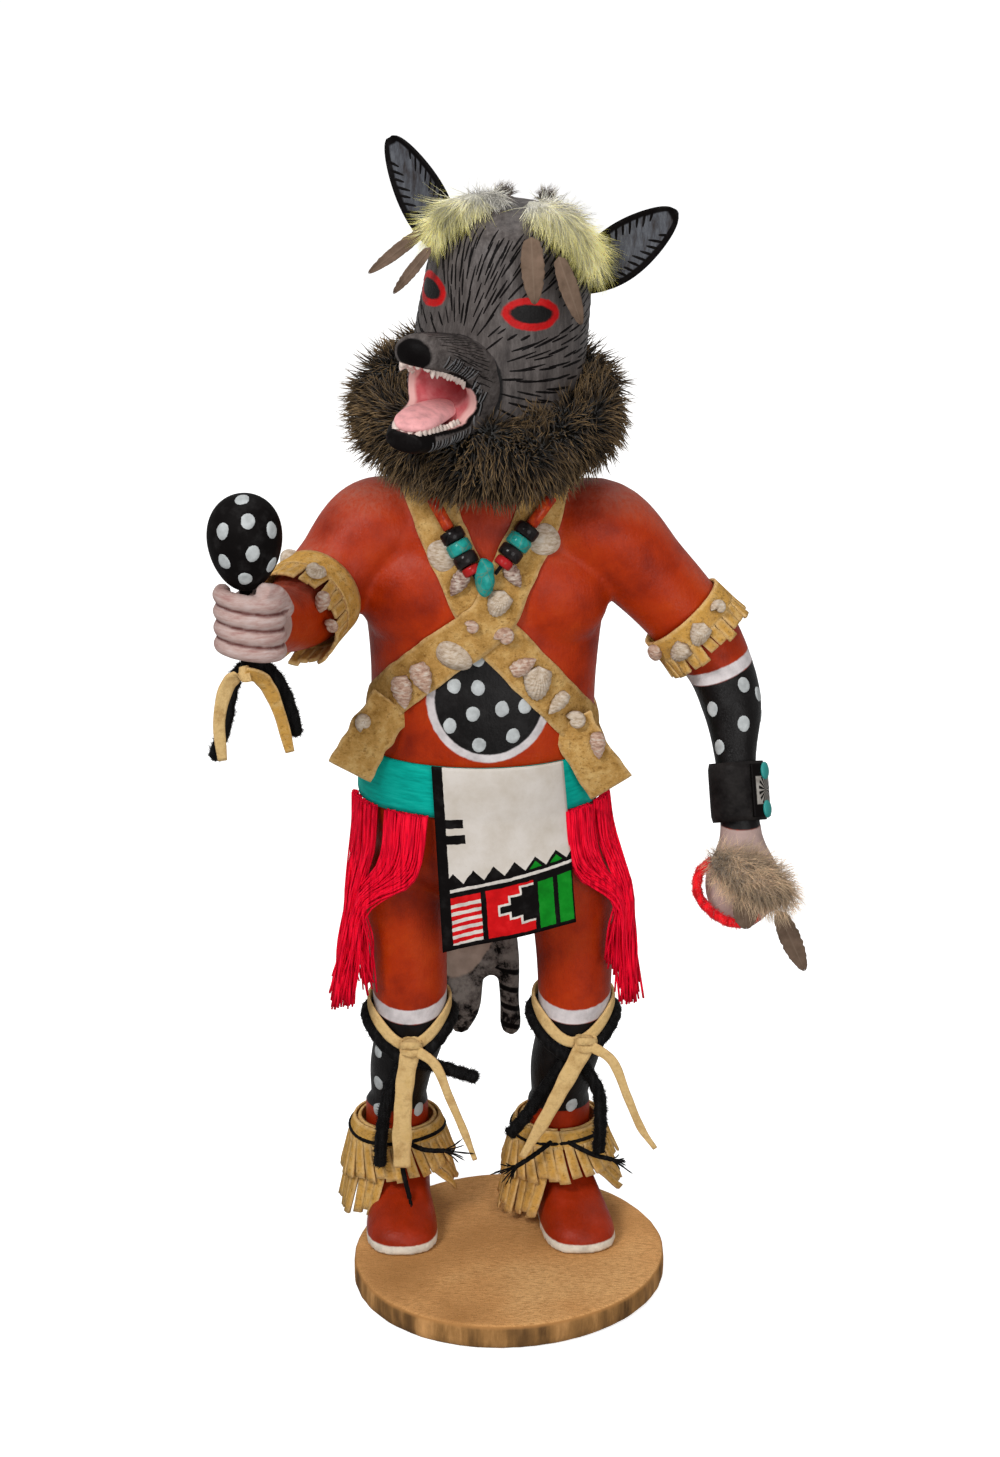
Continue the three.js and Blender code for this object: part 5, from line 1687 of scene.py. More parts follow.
def fringed_cuff(point, rows_at, tabs, thick, seed, closed, turns):
    """A leather cuff with tabs cut in its lower edge; point(share round, share down, outward) is its skin."""
    pick = random.Random(seed)
    solid, tip = rows_at
    around, down = lattice(np.linspace(0, 1, turns, endpoint=not closed), np.linspace(0, solid, 7))
    inner = point(around, down, 0.0)
    slabs = [grown_slab(inner, point(around, down, thick), closed)]
    for tab in range(tabs):
        low, high = (tab + 0.06) / tabs, (tab + 0.94) / tabs
        end = tip * (1 + pick.uniform(-0.07, 0.07))
        lift = pick.uniform(0.0, 0.9)
        drift = pick.uniform(-0.25, 0.25) / tabs
        across, along = np.meshgrid(np.linspace(low, high, 4), np.linspace(solid - 0.03, end, 7))
        bend = np.clip((along - solid) / max(tip - solid, 0.01), 0, 1)
        spread = across + drift * bend
        out = lift * bend**1.5
        slabs.append(grown_slab(point(spread, along, out), point(spread, along, out + thick)))
    return slabs


def band_point(start, end, first, last):
    """The skin of a cone-shaped cuff round a limb."""
    start, end = np.array(start, float), np.array(end, float)
    axis = unit(end - start)
    across = unit(np.cross(axis, (0.3, 1, 0.2)))
    front = np.cross(axis, across)

    def point(around, down, out):
        turn = 2 * np.pi * around
        radius = first + (last - first) * down + out
        spoke = spokes(across, front, turn)
        return start + (end - start) * down[..., None] + spoke * np.asarray(radius)[..., None]

    return point


def ankle_point(middle, wide, extra, gape):
    """The skin of a flaring ankle skirt, a little longer on the doll's right.

    Gape is how far it opens to each side of the front, in degrees, at its top and at its foot.
    """

    def point(around, down, out):
        fall = np.clip(down, 0, 1.2)
        gap = np.radians(gape[0] + (gape[1] - gape[0]) * fall)
        turn = gap + (2 * np.pi - 2 * gap) * around + ANKLE_SWING * fall
        ripple = 0.7 * np.sin(turn * 9 + middle[0]) * fall
        radius = ANKLE_NECK + (wide - ANKLE_NECK) * fall**0.8 + extra + ripple + out
        x, y = middle[0] + radius * np.sin(turn), middle[1] - radius * np.cos(turn)
        height = ANKLE_TOP - ANKLE_FALL * fall * (1 - ANKLE_UNEVEN * np.sin(turn))
        return np.stack([x, y, height], -1)

    return point


# Sea shells, each in its own frame: x along, y across, z out of what carries it.


def fan_shell(long, wide, high, ribs=11):
    """A ribbed cockle or scallop, hinge at the back."""
    turn = np.linspace(-1.35, 1.35, ribs * 4 + 1)
    reach = np.linspace(0.02, 1, 9)
    grid = np.zeros((9, len(turn), 3))
    for row, share in enumerate(reach):
        rib = 0.07 * np.cos(turn * ribs * 2 * np.pi / 2.7) * share
        edge = (0.62 + 0.38 * np.cos(turn * 0.8)) * share * (1 + rib * 0.25)
        grid[row, :, 0] = long * (edge * np.cos(turn) - 0.45)
        grid[row, :, 1] = wide * 0.62 * edge * np.sin(turn)
        dome = np.sin(np.pi * min(0.94, 0.12 + 0.82 * share)) ** 0.8
        grid[row, :, 2] = high * dome * (1 + rib) * np.cos(turn * 0.75) ** 0.5
    base = grid.copy()
    base[..., 2] = -0.3
    return slab(base, grid)


def spire_shell(long, wide, high, whorls=4.5):
    """A whelk, cone or snail lying on its side, with whorls winding to a point."""
    rows, sides = 34, 16
    turn = full_turn(sides)
    rings = []
    for share in np.linspace(0, 1, rows):
        bulge = np.sin(np.pi * (0.12 + 0.88 * share) ** 0.8) ** 0.75
        step = 1 + 0.14 * np.abs(np.sin(np.pi * whorls * share - turn / 2))
        radius = max(0.04, bulge) * step
        y = wide / 2 * radius * np.cos(turn)
        z = high / 2 * (radius * np.sin(turn) + 0.75)
        rings.append(np.column_stack([np.full(sides, long * (0.5 - share)), y, z]))
    return stack(rings)


def cap_shell(long, wide, high):
    """A low limpet or clam with rings of growth."""
    rings = []
    turn = full_turn(28)
    for row, share in enumerate(np.linspace(1, 0.02, 12)):
        growth = 1 + 0.025 * (row % 2)
        x = long / 2 * (share * growth * np.cos(turn) * (1 + 0.18 * np.cos(turn)) + 0.16 * (1 - share))
        y = wide / 2 * share * growth * np.sin(turn)
        z = np.full(28, high * (1 - share**2.2))
        rings.append(np.column_stack([x, y, z]))
    under = rings[0] - np.array([0, 0, 0.4])
    return stack([under, *rings])


def coil_shell(long, wide, high):
    """A round snail seen on its coil, opening at one side."""
    turns, rows, tight = 2.4, 54, 0.27
    up = np.array([0, 0, 1.0])
    around = np.linspace(0, 5.6, 9)
    rings = []
    for share in np.linspace(0, 1, rows):
        turn = 2 * np.pi * turns * share
        grow = 0.1 + 0.9 * share**1.6
        out = np.array([math.cos(turn), math.sin(turn), 0])
        spine = out * np.array([long, wide, 0]) * tight * grow + up * high * (0.72 - 0.35 * grow)
        rings.append(spine + tight * min(long, wide) * grow * spokes(out, up, around))
    return stack(rings)


def seated(shell, point, normal, turn, sink=0.2):
    """A small shape moved onto a surface and turned on it."""
    helper = (0, -1, 0.02) if abs(normal[1]) < 0.2 else (0, 0, 1)
    side = unit(np.cross(helper, normal))
    up = np.cross(normal, side)
    along = side * math.cos(turn) + up * math.sin(turn)
    across = np.cross(normal, along)
    points = np.asarray(shell[0])
    moved = point - normal * sink + np.outer(points[:, 0], along) + np.outer(points[:, 1], across)
    return moved + np.outer(points[:, 2], normal), shell[1]


# Free ends tied on the doll, in millimetres: the leather thongs and the black and red yarn.
KNEE_TIES = {
    "right": {
        "middle": (-35, 26.2),
        "leg": 13.3,
        "knot": (-34.2, 10.6, 83.4),
        "broad": [(-34.4, 9, 83), (-36.5, 7.6, 70), (-37.5, 6, 54), (-37.7, 6, 38)],
        "broad_way": (1, 0, 0),
        "broad_tip": 1.0,
        "slim": [(-33, 9, 83), (-26, 6, 79), (-20.5, 4.6, 66), (-15, 4.2, 52), (-11.5, 4, 42)],
        "slim_way": (0.8, 0, 0.6),
        "yarn_front": 78.6,
        "yarn_ends": [
            [(-40, 12.8, 79), (-33, 12.2, 77), (-25, 11.2, 75.6), (-17, 9, 74), (-10.3, 7.4, 72.6)],
            [(-36.5, 12.4, 76.6), (-42, 10.8, 66), (-45, 9.6, 50), (-45.8, 8.6, 37)],
        ],
    },
    "left": {
        "middle": (23.8, 26.2),
        "leg": 13.1,
        "knot": (28, 11.4, 84.6),
        "broad": [(27.6, 9.6, 84), (21, 6.8, 72), (14, 6, 58), (5.4, 6, 42)],
        "broad_way": (0.9, 0, -0.43),
        "broad_tip": 0.4,
        "slim": [(29, 9.6, 84.6), (37, 7, 80), (43, 5.4, 66), (48, 4.6, 54), (53, 4, 46.5)],
        "slim_way": (0.8, 0, 0.6),
        "yarn_front": 79.4,
        "yarn_ends": [
            [(21, 12.6, 77), (14.5, 11.6, 68), (7.5, 11, 57), (0.6, 10, 48.6)],
            [(26, 12.6, 77), (32.6, 10.4, 66), (33.4, 9.4, 54), (32.8, 8.4, 42.5)],
        ],
    },
}
RATTLE_THONG = [
    [(-84, -50.8, 245.6), (-88.5, -51, 244.6), (-91.6, -50.6, 241), (-94.6, -49.6, 229), (-94, -48.4, 214.4)],
    [(-86, -50.8, 245.4), (-81.5, -49, 243.8), (-78.4, -46.6, 239), (-75, -44.4, 229), (-72, -43, 215.4)],
]
RATTLE_YARN = [
    [(-84, -38.6, 244.8), (-88, -39.6, 242.6), (-90.8, -40.6, 237), (-93, -43, 226), (-97, -44.6, 213)],
    [(-86.5, -38.6, 244.4), (-82, -38, 244.2), (-78, -38, 241.6), (-73.2, -38.4, 233), (-69.7, -39, 219.5)],
]
HAND_YARN = [
    (71, -10.6, 164), (66.2, -10.4, 159), (65.6, -12, 152),
    (71, -15, 145.6), (79, -16, 142.4), (87, -14.6, 145),
]
HAND_YARN_WIDE = 3.6
YARN_WIDE = 4.9
THONG_WIDE, LACE_WIDE, THONG_THICK = 6.6, 3.6, 1.2
RATTLE_THONG_WIDE = 5.4

# Shells sewn on the leather: kind, photograph pixel, long, wide, high, turn in degrees, tint.
STRAP_SHELLS = {
    "under": [
        ("cap", (441, 556), 11, 11, 2.0, 30, "pale"),
        ("spire", (459, 583), 10, 5.4, 4.6, 60, "brown"),
        ("coil", (505, 636), 8.5, 7.5, 4.6, 40, "pink"),
        ("spire", (523, 665), 9.6, 5.4, 4.4, 205, "pink"),
        ("fan", (537, 681), 12, 10.5, 3.8, 265, "pale"),
        ("spire", (556, 703), 9.6, 4.8, 4.0, 40, "pale"),
        ("coil", (577, 720), 8.6, 7.4, 5.0, 10, "pale"),
        ("spire", (598, 745), 9.5, 5.0, 4.0, 95, "pink"),
    ],
    "over": [
        ("cap", (543, 539), 11, 11, 2.0, -30, "pale"),
        ("spire", (513, 576), 9.0, 5.0, 4.4, 120, "brown"),
        ("fan", (499, 602), 9.5, 8.6, 3.4, 245, "pale"),
        ("coil", (472, 627), 6.4, 5.4, 3.6, 0, "pink"),
        ("cap", (451, 655), 13.5, 9.6, 4.4, -25, "pale"),
        ("spire", (424, 678), 11, 7.0, 5.0, 115, "pink"),
        ("spire", (405, 692), 11.5, 7.2, 5.0, 105, "pink"),
        ("coil", (364, 721), 8.6, 6.6, 5.0, 100, "pale"),
    ],
}
ARM_SHELLS = {
    "right": [
        ("cap", (288, 556), 8, 6.4, 2.6, 80, "pale"),
        ("fan", (315, 573), 8, 7.4, 3.0, 200, "pale"),
        ("spire", (322, 600), 8.4, 4.8, 3.8, 70, "pink"),
        ("coil", (326, 625), 6.4, 5.6, 3.6, 0, "pink"),
    ],
    "left": [
        ("coil", (717, 609), 7.4, 6.2, 4.0, 40, "pale"),
        ("fan", (700, 633), 8.4, 7.4, 3.2, 250, "pale"),
        ("fan", (681, 651), 8.4, 7.2, 3.2, 230, "pale"),
        ("spire", (657, 652), 8.0, 5.0, 3.8, 60, "pink"),
    ],
}
SHELL_NODES = [
    "shell_disc_right", "shell_disc_left", "shell_cockle_middle", "shell_limpet", "shell_whelk_upper",
    "shell_whelk_lower", "shell_periwinkle", "shell_scallop", "shell_cone", "shell_nerite",
]
SHELL_KINDS = {"cap": cap_shell, "spire": spire_shell, "fan": fan_shell, "coil": coil_shell}

# Beads from the top of each string down: kind, length, radius.
BEADS = [
    ("coral", 6.2, 2.0),
    ("jet", 4.2, 4.1),
    ("turquoise", 4.4, 4.2),
    ("jet", 4.2, 4.1),
    ("coral_red", 3.2, 3.1),
]
BEAD_NODES = ("tube", "upper_jet", "turquoise", "lower_jet", "coral")
BEAD_RUNS = {"right": ((-22.6, 282.5), (-11.6, 263.6)), "left": ((11.6, 283.0), (-4.6, 262.6))}
BEAD_LIFT, BEAD_GAP, BEAD_HIDDEN = 5.9, 0.3, 6.0

# Down: each tuft's tint, barb length, barbs in a layer, the way they lie, and its core's stations.
DOWNS = {
    "head_down_right": [
        ("yellow", 12.5, 1500, (-0.9, -0.4, -1.9),
         [(-8, 18, 387.5, 1.2), (-13, 16.5, 387, 2.4), (-19, 17, 383.5, 2.6), (-24, 18.5, 376, 1.4)]),
        ("pale", 7.5, 380, (0.1, -0.5, -0.9),
         [(-13, 20, 387.6, 0.8), (-8, 19.4, 388, 1.6), (-2, 20, 387.4, 0.8)]),
        ("dark", 4.4, 200, (0.5, 0, 0.8),
         [(-4.6, 24, 387.6, 0.8), (-1.4, 24.4, 388.4, 1.3), (1.4, 25, 388, 0.6)]),
    ],
    "head_down_left": [
        ("yellow", 13, 1600, (0.8, -0.5, -1.9),
         [(7, 14, 386.5, 1.2), (13, 11, 385, 2.4), (20.5, 10.5, 380.5, 2.8), (26, 11.5, 373.5, 2.2),
          (28.6, 12.5, 367, 1.2)]),
        ("pale", 8.5, 500, (0.7, -0.5, -0.7),
         [(10, 15, 386, 0.8), (17, 13, 385.4, 1.8), (24, 14.4, 381, 1.0)]),
        ("dark", 4.4, 200, (0.2, 0, 0.8),
         [(10.8, 25, 386, 0.8), (13.2, 25, 387, 1.3), (15.4, 25, 386.4, 0.6)]),
    ],
    "hand_down": [
        ("tan", 10, 2100, (0.4, -0.6, -0.2),
         [(71, -13.4, 166, 2.4), (78, -15.4, 162.4, 5.4), (88, -15.4, 156.6, 6.2), (96, -12, 150, 2.6)]),
    ],
}
# Quill feathers: root, tip and half width.
FEATHERS = {
    "head_feather_outer_right": ((-27.4, 20, 377), (-45.5, 19, 363), 2.2),
    "head_feather_inner_right": ((-25.4, 8.8, 373.4), (-37.2, 10, 358.4), 1.9),
    "head_feather_inner_left": ((7.6, -2.6, 379.4), (8.8, -5, 358.6), 3.8),
    "head_feather_outer_left": ((16.6, -1.6, 372.6), (24, 0.4, 350.4), 3.0),
    "hand_feather_long": ((94, -7, 143), (103.4, -5.5, 121), 3.6),
    "hand_feather_short": ((81, -20.6, 155), (82, -19.8, 143), 4.2),
}
PELT_X = -16.0
PELT_LEG = [
    (11, 62, 122, 6, 4),
    (16, 61, 98, 4.6, 4),
    (17, 60.5, 80, 3.6, 3.6),
    (17.5, 60, 68, 3.4, 3.2),
    (17.5, 60, 66, 1.6, 1.6),
]
PELT_PARTS = [
    [
        (0, 58.4, 180, 16, 2.6),
        (0, 61, 160, 18.6, 3.6),
        (0, 62, 146, 19, 4),
        (0, 62.4, 115, 17, 4.4),
        (0, 61.5, 89, 13, 4),
    ],
    [(0, 61.5, 108, 9, 4), (-0.5, 61, 88, 8, 5), (-1, 60.5, 74, 6.5, 4.6), (-1, 60, 67, 2.5, 2.5)],
    PELT_LEG,
    [(-x, *rest) for x, *rest in PELT_LEG],
]


def sew(sewn, skin, shells):
    """Seats sea shells on a leather skin and sorts them by their tint."""
    for kind, pixel, *sizes, turn, tint in shells:
        point, normal = seen_at(skin, pixel)
        sewn[tint].append(seated(SHELL_KINDS[kind](*sizes), point, normal, math.radians(turn)))


def yarn(name, path, finish, node, wide=YARN_WIDE):
    """A length of yarn."""
    return dress(new_object(name, [plied(path, wide)]), finish, [node])


def thong(name, path, way, wide, finish, node, **look):
    """A free end of leather lace."""
    strip = ribbon_slab(path, way, wide, THONG_THICK, steps=48, **look)
    declare(leather_piece(name, [strip], finish, [node]), path, wide)


def feather_shell(root, tip, half, seed):
    """A feather's vane with a few splits, and its shaft."""
    root, tip = np.array(root, float), np.array(tip, float)
    axis = unit(tip - root)
    side = unit(np.cross(axis, (0, -1, 0.15)))
    out = np.cross(side, axis)
    long = np.linalg.norm(tip - root)
    share, reach = lattice(np.linspace(0, 1, 44), np.linspace(-1, 1, 11))
    taper = np.sin(np.pi * (0.1 + 0.9 * share) ** 0.85) ** 0.55
    nick = uneven(share * 17, np.copysign(2, reach), seed)
    width = half * taper * (1 + 0.16 * nick * (np.abs(reach) > 0.7)) + 0.05
    bow = 0.06 * long * np.sin(np.pi * share) + 0.5 * reach**2 * taper
    middle = root + axis * (share * long)[..., None] + out * bow[..., None]
    sheet = middle + side * (reach * width)[..., None] + axis * (np.abs(reach) * 1.2)[..., None]
    lift = out * (0.16 + 0.22 * np.exp(-((reach / 0.1) ** 2)))[..., None]
    return slab(sheet - lift, sheet + lift), both_faces(reach), both_faces(share)


class DOLL_OT_cords(bpy.types.Operator):
    """The knee thongs, the yarns and every free end"""

    bl_idname = "doll.cords"
    bl_label = "Thongs and yarns"

    def execute(self, context):
        suede = leather_finish("thong_suede", "thong", "thong_shade", 0.2)
        black, red = thread_finish("black_wool", "wool", 0.03), thread_finish("red_wool", "wool_red")
        fuzz_hair = blade("fuzz_hair", 1.5, 0.24, 0.4, 1)
        woolly = []
        for side, tie in KNEE_TIES.items():
            node = f"knee_thong_{side}"
            loop = ring_path(tie["middle"], tie["leg"] + 1.3, tie["knot"][2], 12.5)
            slabs = [ribbon_slab(loop, (0, 0.25, 1), 3.8, THONG_THICK, steps=72, wobble=0.25, seed=3)]
            slabs += [(shell, np.zeros(len(shell[0]))) for shell in knot(tie["knot"], 3.0)]
            leather_piece(f"knee_thong_loop_{side}", slabs, suede, [node])
            for name, wide, tip in (("broad", THONG_WIDE, tie["broad_tip"]), ("slim", LACE_WIDE, 0.5)):
                label, path, way = f"knee_thong_{name}_{side}", tie[name], tie[f"{name}_way"]
                thong(label, path, way, wide, suede, node, tip=tip, wobble=0.18, seed=5)
            node = f"knee_yarn_{side}"
            loop = ring_path(tie["middle"], tie["leg"] + 2.0, tie["yarn_front"], 12.0)
            woolly.append(yarn(f"knee_yarn_loop_{side}", loop, black, node))
            for number, path in enumerate(tie["yarn_ends"], 1):
                piece = yarn(f"knee_yarn_end_{side}_{number}", path, black, node)
                declare(piece, path, YARN_WIDE)
                woolly.append(piece)
        golden = leather_finish("golden_thong", "gold_leather", "leather")
        for number, (path, finish) in enumerate(zip(RATTLE_THONG, (suede, golden)), 1):
            label, way = f"rattle_thong_end_{number}", (0.95, 0.1, 0.3)
            thong(label, path, way, RATTLE_THONG_WIDE, finish, "rattle_thong", tip=0.6, wobble=0.15)
        for number, path in enumerate(RATTLE_YARN, 1):
            piece = yarn(f"rattle_yarn_end_{number}", path, black, "rattle_yarn")
            declare(piece, path, YARN_WIDE)
            woolly.append(piece)
        piece = yarn("hand_yarn_wrap", HAND_YARN, red, "hand_yarn", HAND_YARN_WIDE)
        declare(piece, HAND_YARN, HAND_YARN_WIDE)
        fuzz = hairy("hand_yarn_fuzz", piece, fuzz_hair, red, 900, FUZZ_LIE)
        dress(fuzz, red, ["hand_yarn"])
        for number, wool in enumerate(woolly, 1):
            fuzz = hairy(f"wool_fuzz_{number}", wool, fuzz_hair, black, 1300, FUZZ_LIE)
            dress(fuzz, black)
        remove(fuzz_hair)
        return {"FINISHED"}


class DOLL_OT_ruff(bpy.types.Operator):
    """The thick fur ruff round the neck"""

    bl_idname = "doll.ruff"
    bl_label = "Fur ruff"

    def execute(self, context):
        turn, wind = lattice(full_turn(96), full_turn(40))
        lump = uneven(np.cos(turn) * 2.2, np.sin(turn) * 2.2, np.sin(wind) * 1.4)
        radius = RUFF_SKIN * (1 + 0.12 * lump)
        ring = RUFF_MAJOR + radius * np.cos(wind)
        points = np.stack([ring * np.cos(turn), ring * np.sin(turn), radius * np.sin(wind)], -1)
        shell, faces = stack(points, looped=True)
        shell = turned(shell, (1, 0, 0), RUFF_TILT) + np.array(RUFF_AT)
        core = new_object("fur_hide", [(shell, faces)])
        fur = strand_finish("fur", "fur_root", "fur_middle", "fur_tip", 0.1)
        long = size("fur_length")
        coats = [("fur_under", 6700, 0.75, 0.4, 4), ("fur_over", 7300, 1.0, 0.2, 8)]
        for name, count, share, lean, seed in coats:
            hair = blade("fur_hair", long * share, 0.9, 0.24)
            tuft = hairy(name, core, hair, fur, count, (0.5, lean, 3.4, 75.0), (0, -0.07, -0.5), seed)
            dress(tuft, fur, ["fur_ruff"])
            remove(hair)
        dress(core, fur, ["fur_ruff"])
        return {"FINISHED"}


class DOLL_OT_belt(bpy.types.Operator):
    """The turquoise belt and the white painted kilt flap"""

    bl_idname = "doll.belt"
    bl_label = "Belt and kilt"

    def execute(self, context):
        low, high = BELT_SPAN
        rows, columns = 200, 9
        points, normals = np.zeros((rows, columns, 3)), np.zeros((rows, columns, 3))
        for row, turn in enumerate(full_turn(rows)):
            out = np.array([math.sin(turn), -math.cos(turn), 0])
            for column, z in enumerate(np.linspace(low, high, columns)):
                start = np.array([-9, 27, z]) + out * 120
                found = trunk_skin().ray_cast(Vector(start), Vector(-out))
                points[row, column], normals[row, column] = found[:2]
        points, normals = eased(points, 3), unit(eased(normals, 6))
        swell = 1.9 * (1 - 0.3 * np.abs(np.linspace(-1, 1, columns)) ** 8)
        inner = points + normals * 0.1
        belt = new_object("painted_belt", [slab(inner, inner + normals * swell[None, :, None], True)])
        dress(belt, belt_finish(), ["belt"])
        share, down = np.meshgrid(np.linspace(0, 1, 45), np.linspace(0, 1, 64))
        left, wide, height, rise = ((1 - down) * top + down * foot for top, foot in zip(KILT_HELD, KILT_FOOT))
        x, z = left + wide * share, height + rise * share
        places = zip(x.ravel(), np.maximum(z, low).ravel())
        upper = np.array([chest(*place, 3.4)[1] for place in places]).reshape(x.shape)
        swing = np.clip((down - 0.3) / 0.7, 0, 1)
        swing = swing * swing * (3 - 2 * swing)
        y = upper * (1 - swing) - 4.0 * swing + 0.9 * np.sin(share * 7 + 0.6) * swing
        sheet = np.stack([x, y, z], -1)
        out = unit(np.cross(np.gradient(sheet, axis=1), np.gradient(sheet, axis=0)))
        out = out * np.sign(-out[..., 1:2])
        border = np.maximum(np.abs(2 * share - 1), np.abs(2 * down - 1)) ** 12
        lift = out * (0.65 * (1 - 0.45 * border))[..., None]
        kilt = new_object("kilt_cloth", [slab(sheet - lift, sheet + lift)])
        mark(kilt, "across", both_faces(share))
        mark(kilt, "down", both_faces(down))
        dress(kilt, kilt_finish(), ["kilt_flap"])
        return {"FINISHED"}


class DOLL_OT_straps(bpy.types.Operator):
    """The two crossed bandoliers with their tails and shells"""

    bl_idname = "doll.straps"
    bl_label = "Bandoliers"

    def execute(self, context):
        suede = leather_finish()
        wide, thick = size("strap_width"), size("strap_thickness")
        sewn = {"pale": [], "brown": [], "pink": []}
        for which, tail in STRAP_TAILS.items():
            across = (0.79, 0, 0.61) if which == "under" else (-0.75, 0, 0.66)
            look = {"steps": 30, "across_count": 11, "wobble": 0.12, "seed": tail[0][0]}
            hanging = ribbon_slab(tail, across, wide, thick, **look)
            leather_piece(f"strap_{which}", [strap_slab(which), hanging], suede, [f"bandolier_{which}"])
            sew(sewn, skin_of(f"strap_{which}"), STRAP_SHELLS[which])
        for tint, shells in sewn.items():
            piece = new_object(f"strap_shells_{tint}", shells)
            dress(piece, shell_finish(f"shell_{tint}"), SHELL_NODES)
        return {"FINISHED"}


class DOLL_OT_necklace(bpy.types.Operator):
    """The strung beads and the turquoise nugget"""

    bl_idname = "doll.necklace"
    bl_label = "Necklace"

    def execute(self, context):
        made = {"coral": [], "coral_red": [], "jet": [], "turquoise": []}
        cords = []
        for first, last in BEAD_RUNS.values():
            top, low = chest(*first, BEAD_LIFT), chest(*last, BEAD_LIFT)
            axis = unit(low - top)
            top = top - axis * BEAD_HIDDEN
            travel = 0.0
            for number, (kind, long, radius) in enumerate(BEADS):
                long += 0 if number else BEAD_HIDDEN
                round_edge = min(0.5, radius * 0.2)
                end = [(0, radius * 0.4), (0, radius - round_edge), (round_edge, radius)]
                other_end = [(long - along, out) for along, out in end[::-1]]
                profile = [*end, (long / 2, radius * 1.02), *other_end]
                made[kind].append(lathe(profile, top + axis * travel, axis, 32))
                travel += long + BEAD_GAP
            cords.append(lathe([(2, 0.7), (travel + 3, 0.7)], top, axis, 10))
        nugget = ball((0, 0, 0), (3.4, 2.6, 6.8), 36, 28)
        rough = 1 + 0.16 * uneven(*(nugget[0] * 0.35).T)
        at = chest(-7.6, 264.4, 7)
        made["turquoise"].append((nugget[0] * rough[:, None] + at + np.array([0, 0, -2.2]), nugget[1]))
        nodes = [f"bead_{kind}_{side}" for side in BEAD_RUNS for kind in BEAD_NODES]
        finishes = {
            "coral": ("coral", "coral_orange", "coral", "coral_dark", "coral_dark"),
            "coral_red": ("coral", "coral_crimson", "coral_crimson", "coral_dark", "coral_dark"),
            "jet": ("jet", "jet", "jet", "black_paint", "hide_worn", 0.3),
            "turquoise": ("turquoise", "turquoise", "turquoise", "turquoise_dark", "turquoise_vein"),
        }
        for kind, (slot, *stone) in finishes.items():
            piece = new_object(f"beads_{kind}", made[kind])
            dress(piece, stone_finish(*stone), [*nodes, "pendant"])
        string = new_object("bead_string", cords)
        dress(string, thread_finish("bead_thread", "wool"))
        return {"FINISHED"}


class DOLL_OT_fringe(bpy.types.Operator):
    """The crimson sash fringe at each hip, thread by thread"""

    bl_idname = "doll.fringe"
    bl_label = "Sash fringe"

    def execute(self, context):
        finish = thread_finish("sash_silk", "sash", 0.0)
        middle, half = np.array(SASH_OVAL)
        count = context.scene.doll_sizes.fringe_threads
        turn = full_turn(4)
        for side, (angles, gather, tail, loose) in SASH_RUNS.items():
            pick = random.Random(21)
            outer = math.copysign(1, gather[0])
            shells = []
            for thread in range(count):
                share = (thread + pick.random()) / count
                share = share * 0.88 + (0.12 if share > 0.42 else 0)
                angle = math.radians(angles[0] + (angles[1] - angles[0]) * share)
                out = 1.9 + pick.uniform(0, 2.6)
                top = middle + (half + out) * np.array([math.sin(angle), -math.cos(angle)])
                start = np.array([top[0], top[1], SASH_TOP])
                bunch = np.array(gather) + np.array([outer * 6 * (share - 0.5), 5 * share, 0])
                bunch = bunch + np.array([pick.gauss(0, 0.7), pick.gauss(0, 0.9), pick.gauss(0, 1.2)])
                end = np.array(loose if pick.random() < 0.13 else tail, float)
                swing = outer * 3 * (share - 0.5) + pick.gauss(0, 1.4)
                end = end + np.array([swing, pick.gauss(0, 1.6), pick.uniform(-3, 5)])
                end[2] += 24 * max(0.0, pick.random() - 0.55)
                bow = start * 0.82 + bunch * 0.18
                drop = 0.62 - 0.32 * share + pick.gauss(0, 0.03)
                bow[2] = start[2] + drop * (bunch[2] - start[2])
                bow[1] -= 2.5
                sway = (bunch + end) / 2 + np.array([pick.gauss(0, 0.8), pick.gauss(0, 0.8), 0])
                line = smooth_run([start, bow, bunch, sway, end], 18)
                _, across, front = carried(line)
                radius = pick.uniform(0.3, 0.46)
                spoke = spokes(across[:, None], front[:, None], turn)
                shells.append(stack(line[:, None] + radius * spoke))
            piece = new_object(f"sash_threads_{side}", shells)
            dress(piece, finish, [f"sash_fringe_{side}"])
        return {"FINISHED"}


class DOLL_OT_rattle(bpy.types.Operator):
    """The dotted gourd rattle in the right hand"""

    bl_idname = "doll.rattle"
    bl_label = "Rattle"

    def execute(self, context):
        low, high = RATTLE_SPAN
        at = (RATTLE_AXIS[0], RATTLE_AXIS[1], 0)
        handle = [(244.5, 1.4), (244.8, 2.0), (246, 2.2), (low, 2.2)]
        gourd = []
        for turn in np.linspace(0.26, np.pi - 0.03, 40):
            rise = (low + high) / 2 - (high - low) / 2 * math.cos(turn)
            gourd.append((rise, RATTLE_GIRTH * math.sin(turn) * (1 - 0.14 * math.cos(turn))))
        piece = new_object("gourd_rattle", [lathe(handle + gourd, at, (0, 0, 1), 56)])
        dress(piece, flat_paint("gourd_black", "black_paint", 0.6), ["rattle"])
        skin = skin_of("gourd_rattle")
        behind = []
        for number, turn in enumerate(np.linspace(0.3, 2.8, 7)):
            behind.append((at[0] + 14 * math.cos(turn), at[1] + 14 * math.sin(turn), 280 + (number % 3) * 8))
        shells = dabs(skin, RATTLE_DABS, 6.0, 30) + dabs(skin, behind, 6.0, 40)
        dots = new_object("rattle_dabs", shells)
        dress(dots, bpy.data.materials["dab_white"], ["rattle"])
        return {"FINISHED"}


